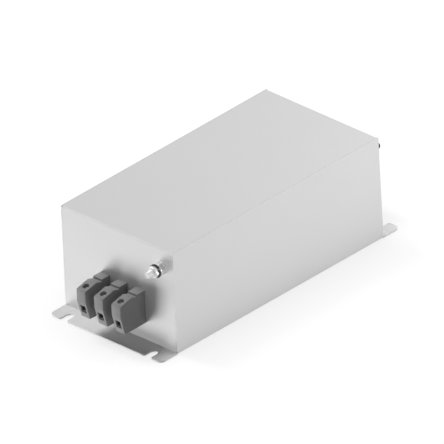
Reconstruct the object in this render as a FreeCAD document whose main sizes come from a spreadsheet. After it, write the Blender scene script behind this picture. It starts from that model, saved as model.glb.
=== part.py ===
import FreeCAD, Part
import math
import os
import Sketcher

# Three-phase EMI line filter in a folded sheet-metal case.
# Millimetres. The origin is the centre of the base's underside, +Y runs from the line end to the
# load end, and +Z is up. Line pieces sit at the -Y end wall, load pieces at the +Y end wall.

DIMENSIONS = {
    # case
    "case_width": 105.0,
    "case_length": 203.6,
    "case_height": 78.8,
    "sheet": 1.0,
    "bend_inside": 0.3,
    "joint_gap": 0.05,
    "rail_width": 8.0,
    "rail_height": 6.0,
    "rail_end_gap": 1.0,
    # mounting flanges and their slots
    "flange_reach": 16.4,
    "flange_corner": 4.0,
    "slot_width": 5.8,
    "slot_depth": 9.3,
    "slot_mouth": 1.8,
    "slot_side": 13.1,
    # threaded foot blocks in the cover, and their screws
    "foot_width": 8.0,
    "foot_height": 4.5,
    "foot_side": 22.5,
    "foot_screw_radius": 1.45,
    "foot_screw_head": 2.25,
    "foot_screw_length": 5.0,
    "screw_play": 0.05,
    # terminal housings, in their own frame: reach is measured out of the end wall
    "block_first": -12.8,
    "block_pitch": 16.4,
    "block_low": 14.8,
    "block_width": 8.1,
    "block_top": 25.3,
    "chin_reach": 21.1,
    "nose_reach": 24.8,
    "nose_low": 14.2,
    "nose_top": 22.7,
    "nose_round": 1.2,
    "brow_round": 3.0,
    "crest_reach": 13.3,
    "notch_reach": 9.5,
    "notch_low": 24.0,
    "step_reach": 8.1,
    "step_low": 23.8,
    "neck_width": 6.4,
    "neck_low": 3.4,
    "neck_top": 21.2,
    "neck_reach": 7.0,
    "neck_play": 0.1,
    "barb_rise": 0.9,
    "barb_reach": 4.5,
    "wire_width": 4.8,
    "wire_low": 4.4,
    "wire_top": 10.4,
    "wire_floor_reach": 20.0,
    # cage clamps and their screws
    "cage_width": 6.2,
    "cage_depth": 4.2,
    "cage_low": 4.6,
    "cage_top": 14.2,
    "cage_wall": 0.8,
    "cage_floor": 1.0,
    "cage_round": 0.8,
    "cage_play": 0.1,
    "cage_rise": 1.0,
    "screw_reach": 19.5,
    "clamp_screw_radius": 1.7,
    "clamp_screw_top": 22.0,
    "clamp_head_radius": 2.2,
    "clamp_head_height": 2.0,
    "access_radius": 2.4,
    "driver_slot_width": 0.9,
    "driver_slot_depth": 1.0,
    # conductor bars
    "bar_width": 4.0,
    "bar_thick": 1.0,
    "bar_low": 10.0,
    "bar_front": 21.2,
    "bar_inset": 10.0,
    "bar_bend": 1.0,
    "bar_stub": 1.4,
    # earth studs and their fittings
    "stud_side": 10.8,
    "stud_drop": 14.2,
    "stud_radius": 2.5,
    "stud_core_radius": 2.1,
    "stud_bevel": 0.4,
    "stud_neck_run": 0.2,
    "line_stud_reach": 14.9,
    "load_stud_reach": 10.2,
    "stud_head_height": 3.5,
    "nut_across": 8.0,
    "nut_height": 4.0,
    "outer_nut_height": 2.7,
    "nut_play": 0.05,
    "nut_bevel": 0.55,
    "washer_radius": 5.0,
    "washer_thick": 1.0,
    "lock_radius": 5.0,
    "lock_thick": 1.2,
    "lock_split": 1.0,
    "lug_radius": 4.6,
    "lug_thick": 0.8,
    "lug_tongue": 9.0,
    "lug_barrel_radius": 1.9,
    "lug_barrel_length": 6.0,
    "lead_radius": 1.2,
    "lead_bend": 5.0,
    "lead_inset": 7.0,
    # insulating sheet, board and standoffs
    "film_thick": 0.4,
    "film_side_gap": 5.5,
    "film_foot_gap": 2.8,
    "board_thick": 1.6,
    "board_side_gap": 3.0,
    "board_end_gap": 3.8,
    "board_corner": 2.0,
    "standoff_height": 6.0,
    "standoff_across": 5.5,
    "standoff_side": 6.5,
    "standoff_end": 35.0,
    "clinch_radius": 2.1,
    "board_screw_radius": 1.25,
    "board_screw_head": 2.75,
    "board_screw_head_height": 2.0,
    "board_screw_length": 6.0,
    "solder_tail": 1.4,
    # chokes
    "choke_cap_gap": 1.5,
    "choke_middle_gap": 1.0,
    "core_radial": 13.0,
    "core_height": 42.0,
    "core_round": 2.0,
    "holder_margin": 1.4,
    "holder_thick": 2.0,
    "holder_peg": 3.0,
    "spoke_thick": 2.4,
    "coil_wire": 1.1,
    "coil_gap": 0.4,
    "coil_turns": 8,
    # capacitors and resistors
    "x_cap_gap": 1.0,
    "x_cap_width": 13.0,
    "x_cap_height": 24.0,
    "x_cap_round": 1.0,
    "x_cap_bar_gap": 6.3,
    "x_cap_lead_inset": 1.75,
    "x_cap_lead_radius": 0.5,
    "y_cap_radius": 5.5,
    "y_cap_thick": 5.0,
    "y_cap_side": 7.0,
    "y_cap_y": 13.0,
    "y_cap_lift": 2.0,
    "y_cap_leads": 7.5,
    "small_lead_radius": 0.4,
    "resistor_radius": 1.6,
    "resistor_length": 9.0,
    "resistor_lead_span": 13.0,
    "resistor_side": 2.1,
    "resistor_pitch": 4.4,
    "resistor_y": 14.0,
    "resistor_lift": 2.2,
}

doc = FreeCAD.newDocument("line_filter")
sheet = doc.addObject("Spreadsheet::Sheet", "sizes")
for row, (alias, number) in enumerate(DIMENSIONS.items(), start=1):
    sheet.set(f"A{row}", alias)
    sheet.set(f"B{row}", str(number))
    sheet.setAlias(f"B{row}", alias)
doc.recompute()


class Size:
    """A number from the sheet, or one worked out from it, with the expression that gives it."""

    def __init__(self, value, text):
        self.value = float(value)
        self.text = text

    def __add__(self, other):
        other = as_size(other)
        return Size(self.value + other.value, f"({self.text} + {other.text})")

    def __sub__(self, other):
        other = as_size(other)
        return Size(self.value - other.value, f"({self.text} - {other.text})")

    def __mul__(self, other):
        other = as_size(other)
        return Size(self.value * other.value, f"({self.text} * {other.text})")

    def __truediv__(self, other):
        other = as_size(other)
        return Size(self.value / other.value, f"({self.text} / {other.text})")

    def __neg__(self):
        return Size(-self.value, f"(-1 * {self.text})")

    def __float__(self):
        return self.value

    __radd__ = __add__
    __rmul__ = __mul__


def as_size(number):
    if isinstance(number, Size):
        return number
    return Size(number, f"({float(number)})")


class Sheet:
    """Reads a cell of the sheet by its alias, as in size.case_width."""

    def __getattr__(self, alias):
        return Size(sheet.get(alias), f"sizes.{alias}")


size = Sheet()
ALONG_X = FreeCAD.Vector(1, 0, 0)
ALONG_Y = FreeCAD.Vector(0, 1, 0)
ALONG_Z = FreeCAD.Vector(0, 0, 1)
QUARTER = 90.0
THIRD = 120.0
COIL_STEP_DEGREES = 12.0
NUT_TURN_DEGREES = 15.0
SPRING_TURN_DEGREES = 40.0
ENDS = {"line": -1, "load": 1}
PHASES = (1, 2, 3)
nodes = []


def bind(thing, path, amount):
    """Gives one property its size, tied to the sheet."""
    amount = as_size(amount)
    thing.setExpression(path, amount.text)


def place(thing, x=0.0, y=0.0, z=0.0, axis=ALONG_Z, angle=0.0):
    """Puts a piece at a point that follows the sheet, turned about one axis."""
    base = FreeCAD.Vector(float(x), float(y), float(z))
    thing.Placement = FreeCAD.Placement(base, FreeCAD.Rotation(axis, angle))
    bind(thing, "Placement.Base.x", x)
    bind(thing, "Placement.Base.y", y)
    bind(thing, "Placement.Base.z", z)
    return thing


def node(thing, label):
    """Names a finished sub-part and puts it on the list of files."""
    thing.Label = label
    nodes.append(thing)
    return thing


def new_body(label):
    return node(doc.addObject("PartDesign::Body", label), label)


def origin_part(body, role):
    for part in body.Origin.OriginFeatures:
        if part.Role == role:
            return part
    raise ValueError(role)


def new_sketch(body, name, role, lift=0.0):
    """An empty sketch on one of the body's own planes, raised along that plane's normal."""
    sketch = body.newObject("Sketcher::SketchObject", name)
    sketch.AttachmentSupport = [(origin_part(body, role), "")]
    sketch.MapMode = "FlatFace"
    bind(sketch, "AttachmentOffset.Base.z", lift)
    return sketch


def pin_point(sketch, index, vertex, x, y):
    """Holds one point of a sketch at its distances from the origin."""
    for kind, amount in (("DistanceX", x), ("DistanceY", y)):
        amount = as_size(amount)
        held = sketch.addConstraint(Sketcher.Constraint(kind, -1, 1, index, vertex, amount.value))
        sketch.setExpression(f"Constraints[{held}]", amount.text)


def rounded_corner(before, here, after, radius):
    """Centre and tangent points of the arc that rounds a corner, and whether it turns left."""
    arrive = (here - before).normalize()
    leave = (after - here).normalize()
    turn = arrive.getAngle(leave)
    left = arrive.cross(leave).z > 0
    reach = radius * math.tan(turn / 2)
    start = here - arrive * reach
    end = here + leave * reach
    side = FreeCAD.Vector(-arrive.y, arrive.x, 0) * (1 if left else -1)
    return start + side * radius, start, end, left


def draw_outline(sketch, corners):
    """Closed run of straight lines through (x, y) corners; (x, y, radius) rounds a corner."""
    points = [FreeCAD.Vector(float(corner[0]), float(corner[1]), 0) for corner in corners]
    count = len(points)
    arcs = {}
    for i, corner in enumerate(corners):
        if len(corner) == 3:
            arcs[i] = rounded_corner(points[i - 1], points[i], points[(i + 1) % count], float(corner[2]))
    lines = []
    for i in range(count):
        j = (i + 1) % count
        first = arcs[i][2] if i in arcs else points[i]
        last = arcs[j][1] if j in arcs else points[j]
        lines.append(sketch.addGeometry(Part.LineSegment(first, last), False))
    for i, corner in enumerate(corners):
        before = lines[i - 1]
        after = lines[i]
        if i not in arcs:
            sketch.addConstraint(Sketcher.Constraint("Coincident", before, 2, after, 1))
            pin_point(sketch, after, 1, corner[0], corner[1])
            continue
        centre, start, end, left = arcs[i]
        if not left:
            start, end = end, start
        from_angle = math.atan2(start.y - centre.y, start.x - centre.x)
        to_angle = math.atan2(end.y - centre.y, end.x - centre.x)
        circle = Part.Circle(centre, ALONG_Z, float(corner[2]))
        arc = sketch.addGeometry(Part.ArcOfCircle(circle, from_angle, to_angle), False)
        sketch.addConstraint(Sketcher.Constraint("Tangent", before, 2, arc, 1 if left else 2))
        sketch.addConstraint(Sketcher.Constraint("Tangent", arc, 2 if left else 1, after, 1))
        held = sketch.addConstraint(Sketcher.Constraint("Radius", arc, float(corner[2])))
        sketch.setExpression(f"Constraints[{held}]", as_size(corner[2]).text)
        sharp = sketch.addGeometry(Part.Point(points[i]), True)
        sketch.addConstraint(Sketcher.Constraint("PointOnObject", sharp, 1, before))
        sketch.addConstraint(Sketcher.Constraint("PointOnObject", sharp, 1, after))
        pin_point(sketch, sharp, 1, corner[0], corner[1])


def draw_circles(sketch, centres, radius):
    """Circles of one radius at (x, y) centres."""
    radius = as_size(radius)
    for x, y in centres:
        centre = FreeCAD.Vector(float(x), float(y), 0)
        ring = sketch.addGeometry(Part.Circle(centre, ALONG_Z, radius.value), False)
        held = sketch.addConstraint(Sketcher.Constraint("Radius", ring, radius.value))
        sketch.setExpression(f"Constraints[{held}]", radius.text)
        pin_point(sketch, ring, 3, x, y)


def box_corners(left, right, low, high, radius=None):
    """The four corners of an upright rectangle, all rounded alike where a radius is given."""
    corners = [(left, low), (right, low), (right, high), (left, high)]
    if radius is None:
        return corners
    return [(x, y, radius) for x, y in corners]


def outline(body, name, role, corners, lift=0.0):
    sketch = new_sketch(body, name, role, lift)
    draw_outline(sketch, corners)
    return sketch


def circles(body, name, role, centres, radius, lift=0.0):
    sketch = new_sketch(body, name, role, lift)
    draw_circles(sketch, centres, radius)
    return sketch


def pad(body, name, sketch, length, symmetric=False):
    """Thickens a sketch along its plane's normal, or half each way."""
    feature = body.newObject("PartDesign::Pad", name)
    feature.Profile = sketch
    feature.SideType = "Symmetric" if symmetric else "One side"
    bind(feature, "Length", length)
    doc.recompute()
    return feature


def must_cut(body, before, name):
    if body.Shape.Volume >= before - 1e-6:
        raise RuntimeError(f"{body.Label}: {name} removes nothing")


def must_change(body, before, name):
    if abs(body.Shape.Volume - before) < 1e-6:
        raise RuntimeError(f"{body.Label}: {name} repeats nothing")


def pocket(body, name, sketch, length=None, symmetric=False, upward=False):
    """Cuts a sketch into the body against its normal, or upward along it, or half each way."""
    before = body.Shape.Volume
    feature = body.newObject("PartDesign::Pocket", name)
    feature.Profile = sketch
    feature.SideType = "Symmetric" if symmetric else "One side"
    feature.Reversed = upward
    if length is None:
        feature.Type = "ThroughAll"
    else:
        bind(feature, "Length", length)
    doc.recompute()
    must_cut(body, before, name)
    return feature


def cylinder(name, radius, height):
    round_bar = doc.addObject("Part::Cylinder", name)
    bind(round_bar, "Radius", radius)
    bind(round_bar, "Height", height)
    return round_bar


def fuse(name, pieces):
    joined = doc.addObject("Part::MultiFuse", name)
    joined.Shapes = pieces
    return joined


def cut(name, base, tool):
    remains = doc.addObject("Part::Cut", name)
    remains.Base = base
    remains.Tool = tool
    return remains


def group(label, pieces):
    """Identical small pieces that share one node as separate solids."""
    together = doc.addObject("Part::Compound", label)
    together.Links = pieces
    return node(together, label)


# Places shared by several pieces.

half_width = size.case_width / 2
half_length = size.case_length / 2
bend_outside = size.bend_inside + size.sheet
wall_inside = half_length - size.sheet
side_inside = half_width - size.sheet
plate_low = size.case_height - size.sheet
slot_half = size.slot_width / 2
slot_x = half_width - size.slot_side
flange_edge = half_length + size.flange_reach
foot_x = half_width - size.foot_side
foot_middle = wall_inside - size.foot_width / 2
foot_screw_places = [(foot_x * x, foot_middle * y) for x in (-1, 1) for y in (-1, 1)]
stud_x = half_width - size.stud_side
stud_z = size.case_height - size.stud_drop
board_low = size.sheet + size.standoff_height
board_top = board_low + size.board_thick
solder_level = board_low - size.solder_tail
board_half_width = side_inside - size.board_side_gap
board_half_length = wall_inside - size.board_end_gap
standoff_x = board_half_width - size.standoff_side
standoff_y = board_half_length - size.standoff_end
standoff_places = [(standoff_x * x, standoff_y * y) for x in (-1, 1) for y in (-1, 0, 1)]
bar_foot_middle = half_length - size.bar_inset + size.bar_thick / 2
x_cap_length = (board_half_width * 2 - size.x_cap_gap * 4) / 3
x_cap_y = half_length - size.bar_inset - size.x_cap_bar_gap - size.x_cap_width / 2


def mirrored(body, name, features, role):
    """Repeats features on the other side of one of the body's own planes."""
    before = body.Shape.Volume
    mirror = body.newObject("PartDesign::Mirrored", name)
    mirror.Originals = features
    mirror.MirrorPlane = (origin_part(body, role), [""])
    body.Tip = mirror
    doc.recompute()
    must_change(body, before, name)
    return mirror


def row_of(body, name, features, length, count):
    """Repeats features along +X, the last one a length away."""
    before = body.Shape.Volume
    pattern = body.newObject("PartDesign::LinearPattern", name)
    pattern.Originals = features
    pattern.Direction = (origin_part(body, "X_Axis"), [""])
    bind(pattern, "Length", length)
    pattern.Occurrences = count
    body.Tip = pattern
    doc.recompute()
    must_change(body, before, name)
    return pattern


def four_times(body, name, features, across):
    """Repeats features a distance along +X, and both at the other end."""
    before = body.Shape.Volume
    both = body.newObject("PartDesign::MultiTransform", name)
    row = body.newObject("PartDesign::LinearPattern", f"{name}_row")
    row.Direction = (origin_part(body, "X_Axis"), [""])
    bind(row, "Length", across)
    row.Occurrences = 2
    ends = body.newObject("PartDesign::Mirrored", f"{name}_ends")
    ends.MirrorPlane = (origin_part(body, "XZ_Plane"), [""])
    both.Originals = features
    both.Transformations = [row, ends]
    body.Tip = both
    doc.recompute()
    must_change(body, before, name)
    return both


def make_base_tray():
    """Bottom, long side walls and slotted flanges folded from one sheet, with welded inner rails."""
    body = new_body("base_tray")
    section = outline(body, "channel_section", "XZ_Plane", [
        (-half_width, size.case_height),
        (-half_width, 0.0, bend_outside),
        (half_width, 0.0, bend_outside),
        (half_width, size.case_height),
        (side_inside, size.case_height),
        (side_inside, size.sheet, size.bend_inside),
        (-side_inside, size.sheet, size.bend_inside),
        (-side_inside, size.case_height),
    ])
    pad(body, "channel", section, size.case_length, symmetric=True)
    flange = outline(body, "flange_outline", "XY_Plane", [
        (-half_width, -flange_edge, size.flange_corner),
        (half_width, -flange_edge, size.flange_corner),
        (half_width, -half_length),
        (-half_width, -half_length),
    ])
    mirrored(body, "load_flange", [pad(body, "line_flange", flange, size.sheet)], "XZ_Plane")

    rail = outline(body, "rail_section", "XZ_Plane", [
        (side_inside, plate_low, bend_outside),
        (side_inside - size.rail_width, plate_low),
        (side_inside - size.rail_width, plate_low - size.sheet),
        (side_inside - size.sheet, plate_low - size.sheet, size.bend_inside),
        (side_inside - size.sheet, plate_low - size.rail_height),
        (side_inside, plate_low - size.rail_height),
    ])
    rail_pad = pad(body, "right_rail", rail, (wall_inside - size.rail_end_gap) * 2, symmetric=True)
    mirrored(body, "left_rail", [rail_pad], "YZ_Plane")

    slot_centre = size.slot_depth - slot_half - flange_edge
    spread = slot_half + size.slot_mouth * 2
    beyond = -flange_edge - size.sheet
    slot_end = circles(body, "slot_end", "XY_Plane", [(-slot_x, slot_centre)], slot_half)
    slot_mouth = outline(body, "slot_mouth", "XY_Plane", [
        (-slot_x - slot_half, slot_centre),
        (-slot_x - slot_half, -flange_edge, size.slot_mouth),
        (-slot_x - spread, -flange_edge),
        (-slot_x - spread, beyond),
        (-slot_x + spread, beyond),
        (-slot_x + spread, -flange_edge),
        (-slot_x + slot_half, -flange_edge, size.slot_mouth),
        (-slot_x + slot_half, slot_centre),
    ])
    end_cut = pocket(body, "slot_end_cut", slot_end, upward=True)
    mouth_cut = pocket(body, "slot_mouth_cut", slot_mouth, upward=True)
    four_times(body, "flange_slots", [end_cut, mouth_cut], slot_x * 2)

    clinch_bore = size.clinch_radius + size.screw_play
    clinch = circles(body, "clinch_holes", "XY_Plane", standoff_places, clinch_bore)
    pocket(body, "clinch_hole_cut", clinch, size.sheet, upward=True)

    screw_holes = circles(body, "foot_screw_holes", "XY_Plane", foot_screw_places, size.foot_screw_radius)
    before = body.Shape.Volume
    hole = body.newObject("PartDesign::Hole", "countersunk_holes")
    hole.Profile = screw_holes
    doc.recompute()
    hole.Reversed = True
    hole.DepthType = "ThroughAll"
    bind(hole, "Diameter", (size.foot_screw_radius + size.screw_play) * 2)
    hole.HoleCutType = "Countersink"
    hole.HoleCutCustomValues = True
    bind(hole, "HoleCutDiameter", (size.foot_screw_head + size.screw_play) * 2)
    hole.HoleCutCountersinkAngle = QUARTER
    body.Tip = hole
    doc.recompute()
    must_cut(body, before, "countersunk_holes")


def make_cover():
    """Line wall, top and load wall folded from one sheet, nested between the tray's long walls."""
    body = new_body("cover")
    cover_half = side_inside - size.joint_gap
    section = outline(body, "cover_section", "YZ_Plane", [
        (-half_length, size.sheet),
        (-half_length, size.case_height, bend_outside),
        (half_length, size.case_height, bend_outside),
        (half_length, size.sheet),
        (wall_inside, size.sheet),
        (wall_inside, plate_low, size.bend_inside),
        (-wall_inside, plate_low, size.bend_inside),
        (-wall_inside, size.sheet),
    ])
    pad(body, "cover_shell", section, cover_half * 2, symmetric=True)
    foot = outline(body, "foot_block", "XY_Plane", box_corners(
        -foot_x - size.foot_width / 2,
        -foot_x + size.foot_width / 2,
        -wall_inside,
        size.foot_width - wall_inside,
    ), lift=size.sheet)
    foot_pad = pad(body, "foot_block_pad", foot, size.foot_height)
    four_times(body, "foot_blocks", [foot_pad], foot_x * 2)
    trim = size.bend_inside + size.joint_gap
    corner = outline(body, "corner_trim", "XZ_Plane", [
        (cover_half - trim, size.sheet),
        (cover_half + trim, size.sheet),
        (cover_half + trim, size.sheet + trim * 2),
        (cover_half, size.sheet + trim),
    ])
    corner_cut = pocket(body, "corner_trim_cut", corner, size.case_length, symmetric=True)
    mirrored(body, "corner_trims", [corner_cut], "YZ_Plane")

    play = size.neck_play
    window_half = size.neck_width / 2 + play
    window = outline(body, "block_window", "XZ_Plane", box_corners(
        size.block_first - window_half,
        size.block_first + window_half,
        size.block_low + size.neck_low - play,
        size.block_low + size.neck_top + play,
    ))
    window_cut = pocket(body, "block_window_cut", window, symmetric=True)
    row_of(body, "block_windows", [window_cut], size.block_pitch * 2, len(PHASES))

    stud_hole = circles(body, "stud_hole", "XZ_Plane", [(stud_x, stud_z)],
                        size.stud_radius + size.nut_play)
    pocket(body, "stud_hole_cut", stud_hole, symmetric=True)
    tapped = circles(body, "foot_threads", "XY_Plane", foot_screw_places,
                     size.foot_screw_radius + size.screw_play)
    pocket(body, "foot_thread_cut", tapped, size.sheet + size.foot_height, upward=True)


def make_cover_screws():
    """Flat-headed screws, flush with the underside."""
    screws = []
    for i, (x, y) in enumerate(foot_screw_places, start=1):
        head = doc.addObject("Part::Cone", f"cover_screw_head_{i}")
        bind(head, "Radius1", size.foot_screw_head)
        bind(head, "Radius2", size.foot_screw_radius)
        bind(head, "Height", size.foot_screw_head - size.foot_screw_radius)
        shank = cylinder(f"cover_screw_shank_{i}", size.foot_screw_radius, size.foot_screw_length)
        screws.append(place(fuse(f"cover_screw_{i}", [head, shank]), x, y, 0.0))
    group("cover_screws", screws)


def block_placement(thing, end, phase):
    """Terminal pieces are made for the line end; the load end is the same piece turned round."""
    x = size.block_first + size.block_pitch * (phase - 1)
    y = half_length * ENDS[end]
    return place(thing, x, y, size.block_low, ALONG_Z, 0.0 if end == "line" else 2 * QUARTER)


def make_block(end, phase):
    """Moulded housing: profiled body, neck with snap barbs, wire entry, clamp well, access hole."""
    body = new_body(f"{end}_block_{phase}")
    profile = outline(body, "profile", "YZ_Plane", [
        (0.0, 0.0),
        (0.0, size.block_top),
        (-size.step_reach, size.block_top),
        (-size.step_reach, size.step_low),
        (-size.notch_reach, size.notch_low),
        (-size.crest_reach, size.block_top),
        (-size.nose_reach, size.nose_top, size.nose_round),
        (-size.nose_reach, size.nose_low, size.brow_round),
        (-size.chin_reach, 0.0),
    ])
    pad(body, "housing", profile, size.block_width, symmetric=True)
    behind = size.sheet + size.neck_play
    neck = outline(body, "neck_profile", "YZ_Plane", [
        (0.0, size.neck_low),
        (behind, size.neck_low),
        (behind, size.neck_low - size.barb_rise),
        (size.barb_reach, size.neck_low),
        (size.neck_reach, size.neck_low),
        (size.neck_reach, size.neck_top),
        (size.barb_reach, size.neck_top),
        (behind, size.neck_top + size.barb_rise),
        (behind, size.neck_top),
        (0.0, size.neck_top),
    ])
    pad(body, "neck", neck, size.neck_width, symmetric=True)

    well_front = size.screw_reach + size.cage_depth / 2 + size.cage_play
    well_back = size.screw_reach - size.cage_depth / 2 - size.cage_play
    well = outline(body, "clamp_well", "YZ_Plane", box_corners(
        -well_front,
        -well_back,
        size.cage_low,
        size.cage_top + size.cage_rise,
    ))
    pocket(body, "clamp_well_cut", well, size.cage_width + size.cage_play * 2, symmetric=True)
    entry = outline(body, "wire_entry", "YZ_Plane", [
        (-size.nose_reach - size.sheet, size.wire_low),
        (-size.wire_floor_reach, size.wire_low),
        (-size.wire_floor_reach, size.wire_top),
        (-size.nose_reach - size.sheet, size.wire_top),
    ])
    pocket(body, "wire_entry_cut", entry, size.wire_width, symmetric=True)
    access = circles(body, "access_hole", "XY_Plane", [(0.0, -size.screw_reach)], size.access_radius,
                     lift=size.cage_top)
    pocket(body, "access_hole_cut", access, upward=True)
    slot_half_width = size.bar_width / 2 + size.cage_play
    bar_slot = outline(body, "bar_slot", "XZ_Plane", box_corners(
        -slot_half_width,
        slot_half_width,
        size.bar_low - size.cage_play,
        size.bar_low + size.bar_thick + size.cage_play,
    ), lift=-size.neck_reach - size.sheet)
    pocket(body, "bar_slot_cut", bar_slot, size.neck_reach + size.sheet + well_back, upward=True)
    block_placement(body, end, phase)


def make_clamp(end, phase):
    """Steel cage with a thick threaded top; the wire goes in under the conductor bar."""
    body = new_body(f"{end}_clamp_{phase}")
    half = size.cage_width / 2
    frame = outline(body, "cage_outline", "XZ_Plane",
                    box_corners(-half, half, size.cage_low, size.cage_top, size.cage_round),
                    lift=size.screw_reach)
    pad(body, "cage", frame, size.cage_depth, symmetric=True)
    window = outline(body, "cage_window", "XZ_Plane", box_corners(
        size.cage_wall - half,
        half - size.cage_wall,
        size.cage_low + size.cage_floor,
        size.bar_low + size.bar_thick + size.cage_play,
    ), lift=size.screw_reach)
    pocket(body, "cage_window_cut", window, size.cage_depth, symmetric=True)
    tapped = circles(body, "tapped_hole", "XY_Plane", [(0.0, -size.screw_reach)],
                     size.clamp_screw_radius + size.screw_play, lift=size.bar_low)
    pocket(body, "tapped_hole_cut", tapped, upward=True)
    block_placement(body, end, phase)


def make_busbar(end, phase):
    """Plated copper bar from the clamp through the neck, bent down into the board."""
    body = new_body(f"{end}_busbar_{phase}")
    high = size.bar_low + size.bar_thick
    foot = solder_level - size.block_low
    strip = outline(body, "strip", "YZ_Plane", [
        (-size.bar_front, size.bar_low),
        (size.bar_inset - size.bar_thick, size.bar_low, size.bar_bend),
        (size.bar_inset - size.bar_thick, foot),
        (size.bar_inset, foot),
        (size.bar_inset, high, size.bar_bend + size.bar_thick),
        (-size.bar_front, high),
    ])
    pad(body, "bar", strip, size.bar_width, symmetric=True)
    block_placement(body, end, phase)


def make_clamp_screws(end):
    """Slotted screws that stand on the bars and draw the cages up."""
    low = size.bar_low + size.bar_thick
    head_low = size.clamp_screw_top - size.clamp_head_height
    slot_low = size.clamp_screw_top - size.driver_slot_depth
    screws = []
    for phase in PHASES:
        name = f"{end}_clamp_screw_{phase}"
        shank = cylinder(f"{name}_shank", size.clamp_screw_radius, head_low - low)
        place(shank, 0.0, -size.screw_reach, low)
        head = cylinder(f"{name}_head", size.clamp_head_radius, size.clamp_head_height)
        place(head, 0.0, -size.screw_reach, head_low)
        slot = doc.addObject("Part::Box", f"{name}_slot")
        bind(slot, "Length", size.clamp_head_radius * 3)
        bind(slot, "Width", size.driver_slot_width)
        bind(slot, "Height", size.driver_slot_depth * 2)
        place(slot, size.clamp_head_radius * -1.5, -size.screw_reach - size.driver_slot_width / 2, slot_low)
        solid = cut(name, fuse(f"{name}_blank", [shank, head]), slot)
        screws.append(block_placement(solid, end, phase))
    group(f"{end}_clamp_screws", screws)


# Earth pieces are made along +Z, out of the wall, with the wall's outer face at zero.

lug_seat = size.sheet
head_seat = lug_seat + size.lug_thick
nut_corner = size.nut_across / math.sqrt(3)
base_stack = size.washer_thick + size.nut_height
spring_seat = base_stack + size.washer_thick
line_stack = spring_seat + size.lock_thick + size.outer_nut_height


def stud_placement(thing, end, height=0.0, spin=0.0):
    """Turns a piece to the end wall's stud axis, a height above the wall's outer face."""
    side = ENDS[end]
    y = (half_length + height) * side
    place(thing, stud_x, y, stud_z, ALONG_X, -QUARTER * side)
    thing.Placement = FreeCAD.Placement(
        thing.Placement.Base,
        thing.Placement.Rotation.multiply(FreeCAD.Rotation(ALONG_Z, spin)),
    )
    return thing


def hexagon(name, height):
    prism = doc.addObject("Part::Prism", name)
    prism.Polygon = 6
    bind(prism, "Circumradius", nut_corner)
    bind(prism, "Height", height)
    return prism


def nut_blank(name, height):
    """Hexagon whose corners are bevelled at both faces, as turned nuts are."""
    section = doc.addObject("Sketcher::SketchObject", f"{name}_section")
    section.Placement = FreeCAD.Placement(FreeCAD.Vector(), FreeCAD.Rotation(ALONG_X, QUARTER))
    draw_outline(section, [
        (0.0, 0.0),
        (nut_corner - size.nut_bevel, 0.0),
        (nut_corner, size.nut_bevel),
        (nut_corner, height - size.nut_bevel),
        (nut_corner - size.nut_bevel, height),
        (0.0, height),
    ])
    turned = doc.addObject("Part::Revolution", f"{name}_turned")
    turned.Source = section
    turned.Axis = ALONG_Z
    turned.Angle = 360.0
    turned.Solid = True
    common = doc.addObject("Part::Common", f"{name}_blank")
    common.Base = hexagon(f"{name}_hexagon", height)
    common.Tool = turned
    return common


def make_nut(name, height):
    bore = cylinder(f"{name}_bore", size.stud_core_radius + size.nut_play, height)
    return cut(name, nut_blank(name, height), bore)


def make_washer(name):
    disc = cylinder(f"{name}_disc", size.washer_radius, size.washer_thick)
    hole = cylinder(f"{name}_hole", size.stud_radius + size.nut_play * 2, size.washer_thick)
    return cut(name, disc, hole)


def make_earth_stud(end):
    """Headed stud: the head clamps the ring lug to the inside of the wall, and the thread under the
    nuts is drawn at its core."""
    body = new_body(f"{end}_earth_stud")
    reach = size.line_stud_reach if end == "line" else size.load_stud_reach
    nuts_end = line_stack if end == "line" else base_stack
    neck_end = nuts_end + size.stud_neck_run
    profile = outline(body, "turned_profile", "XZ_Plane", [
        (0.0, -head_seat),
        (size.stud_radius, -head_seat),
        (size.stud_radius, size.washer_thick),
        (size.stud_core_radius, size.washer_thick),
        (size.stud_core_radius, neck_end),
        (size.stud_radius, neck_end),
        (size.stud_radius, reach - size.stud_bevel),
        (size.stud_radius - size.stud_bevel, reach),
        (0.0, reach),
    ])
    turned = body.newObject("PartDesign::Revolution", "turned")
    turned.Profile = profile
    turned.ReferenceAxis = (origin_part(body, "Z_Axis"), [""])
    turned.Angle = 360.0
    doc.recompute()
    flat = size.nut_across / 2
    head = outline(body, "head_outline", "XY_Plane", [
        (nut_corner, 0.0),
        (nut_corner / 2, flat),
        (-nut_corner / 2, flat),
        (-nut_corner, 0.0),
        (-nut_corner / 2, -flat),
        (nut_corner / 2, -flat),
    ], lift=-head_seat - size.stud_head_height)
    pad(body, "head", head, size.stud_head_height)
    stud_placement(body, end)


def make_earth_fittings():
    """Washer and nut on both studs; a washer, a spring washer and a thin nut more on the line stud."""
    washers = []
    nuts = []
    for end in ENDS:
        washers.append(stud_placement(make_washer(f"{end}_washer"), end))
        base_nut = make_nut(f"{end}_base_nut", size.nut_height)
        nuts.append(stud_placement(base_nut, end, size.washer_thick, NUT_TURN_DEGREES))
    washers.append(stud_placement(make_washer("line_upper_washer"), "line", base_stack))
    group("earth_washers", washers)
    group("earth_base_nuts", nuts)

    ring = cylinder("spring_ring", size.lock_radius, size.lock_thick)
    eye = cylinder("spring_eye", size.stud_radius + size.nut_play * 2, size.lock_thick)
    split = doc.addObject("Part::Box", "spring_split")
    bind(split, "Length", size.lock_radius * 2)
    bind(split, "Width", size.lock_split)
    bind(split, "Height", size.lock_thick)
    place(split, 0.0, -size.lock_split / 2, 0.0)
    spring = cut("line_lock_washer", cut("spring_full_ring", ring, eye), split)
    node(stud_placement(spring, "line", spring_seat, SPRING_TURN_DEGREES), "line_lock_washer")
    outer = make_nut("line_outer_nut", size.outer_nut_height)
    node(stud_placement(outer, "line", spring_seat + size.lock_thick), "line_outer_nut")


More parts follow.
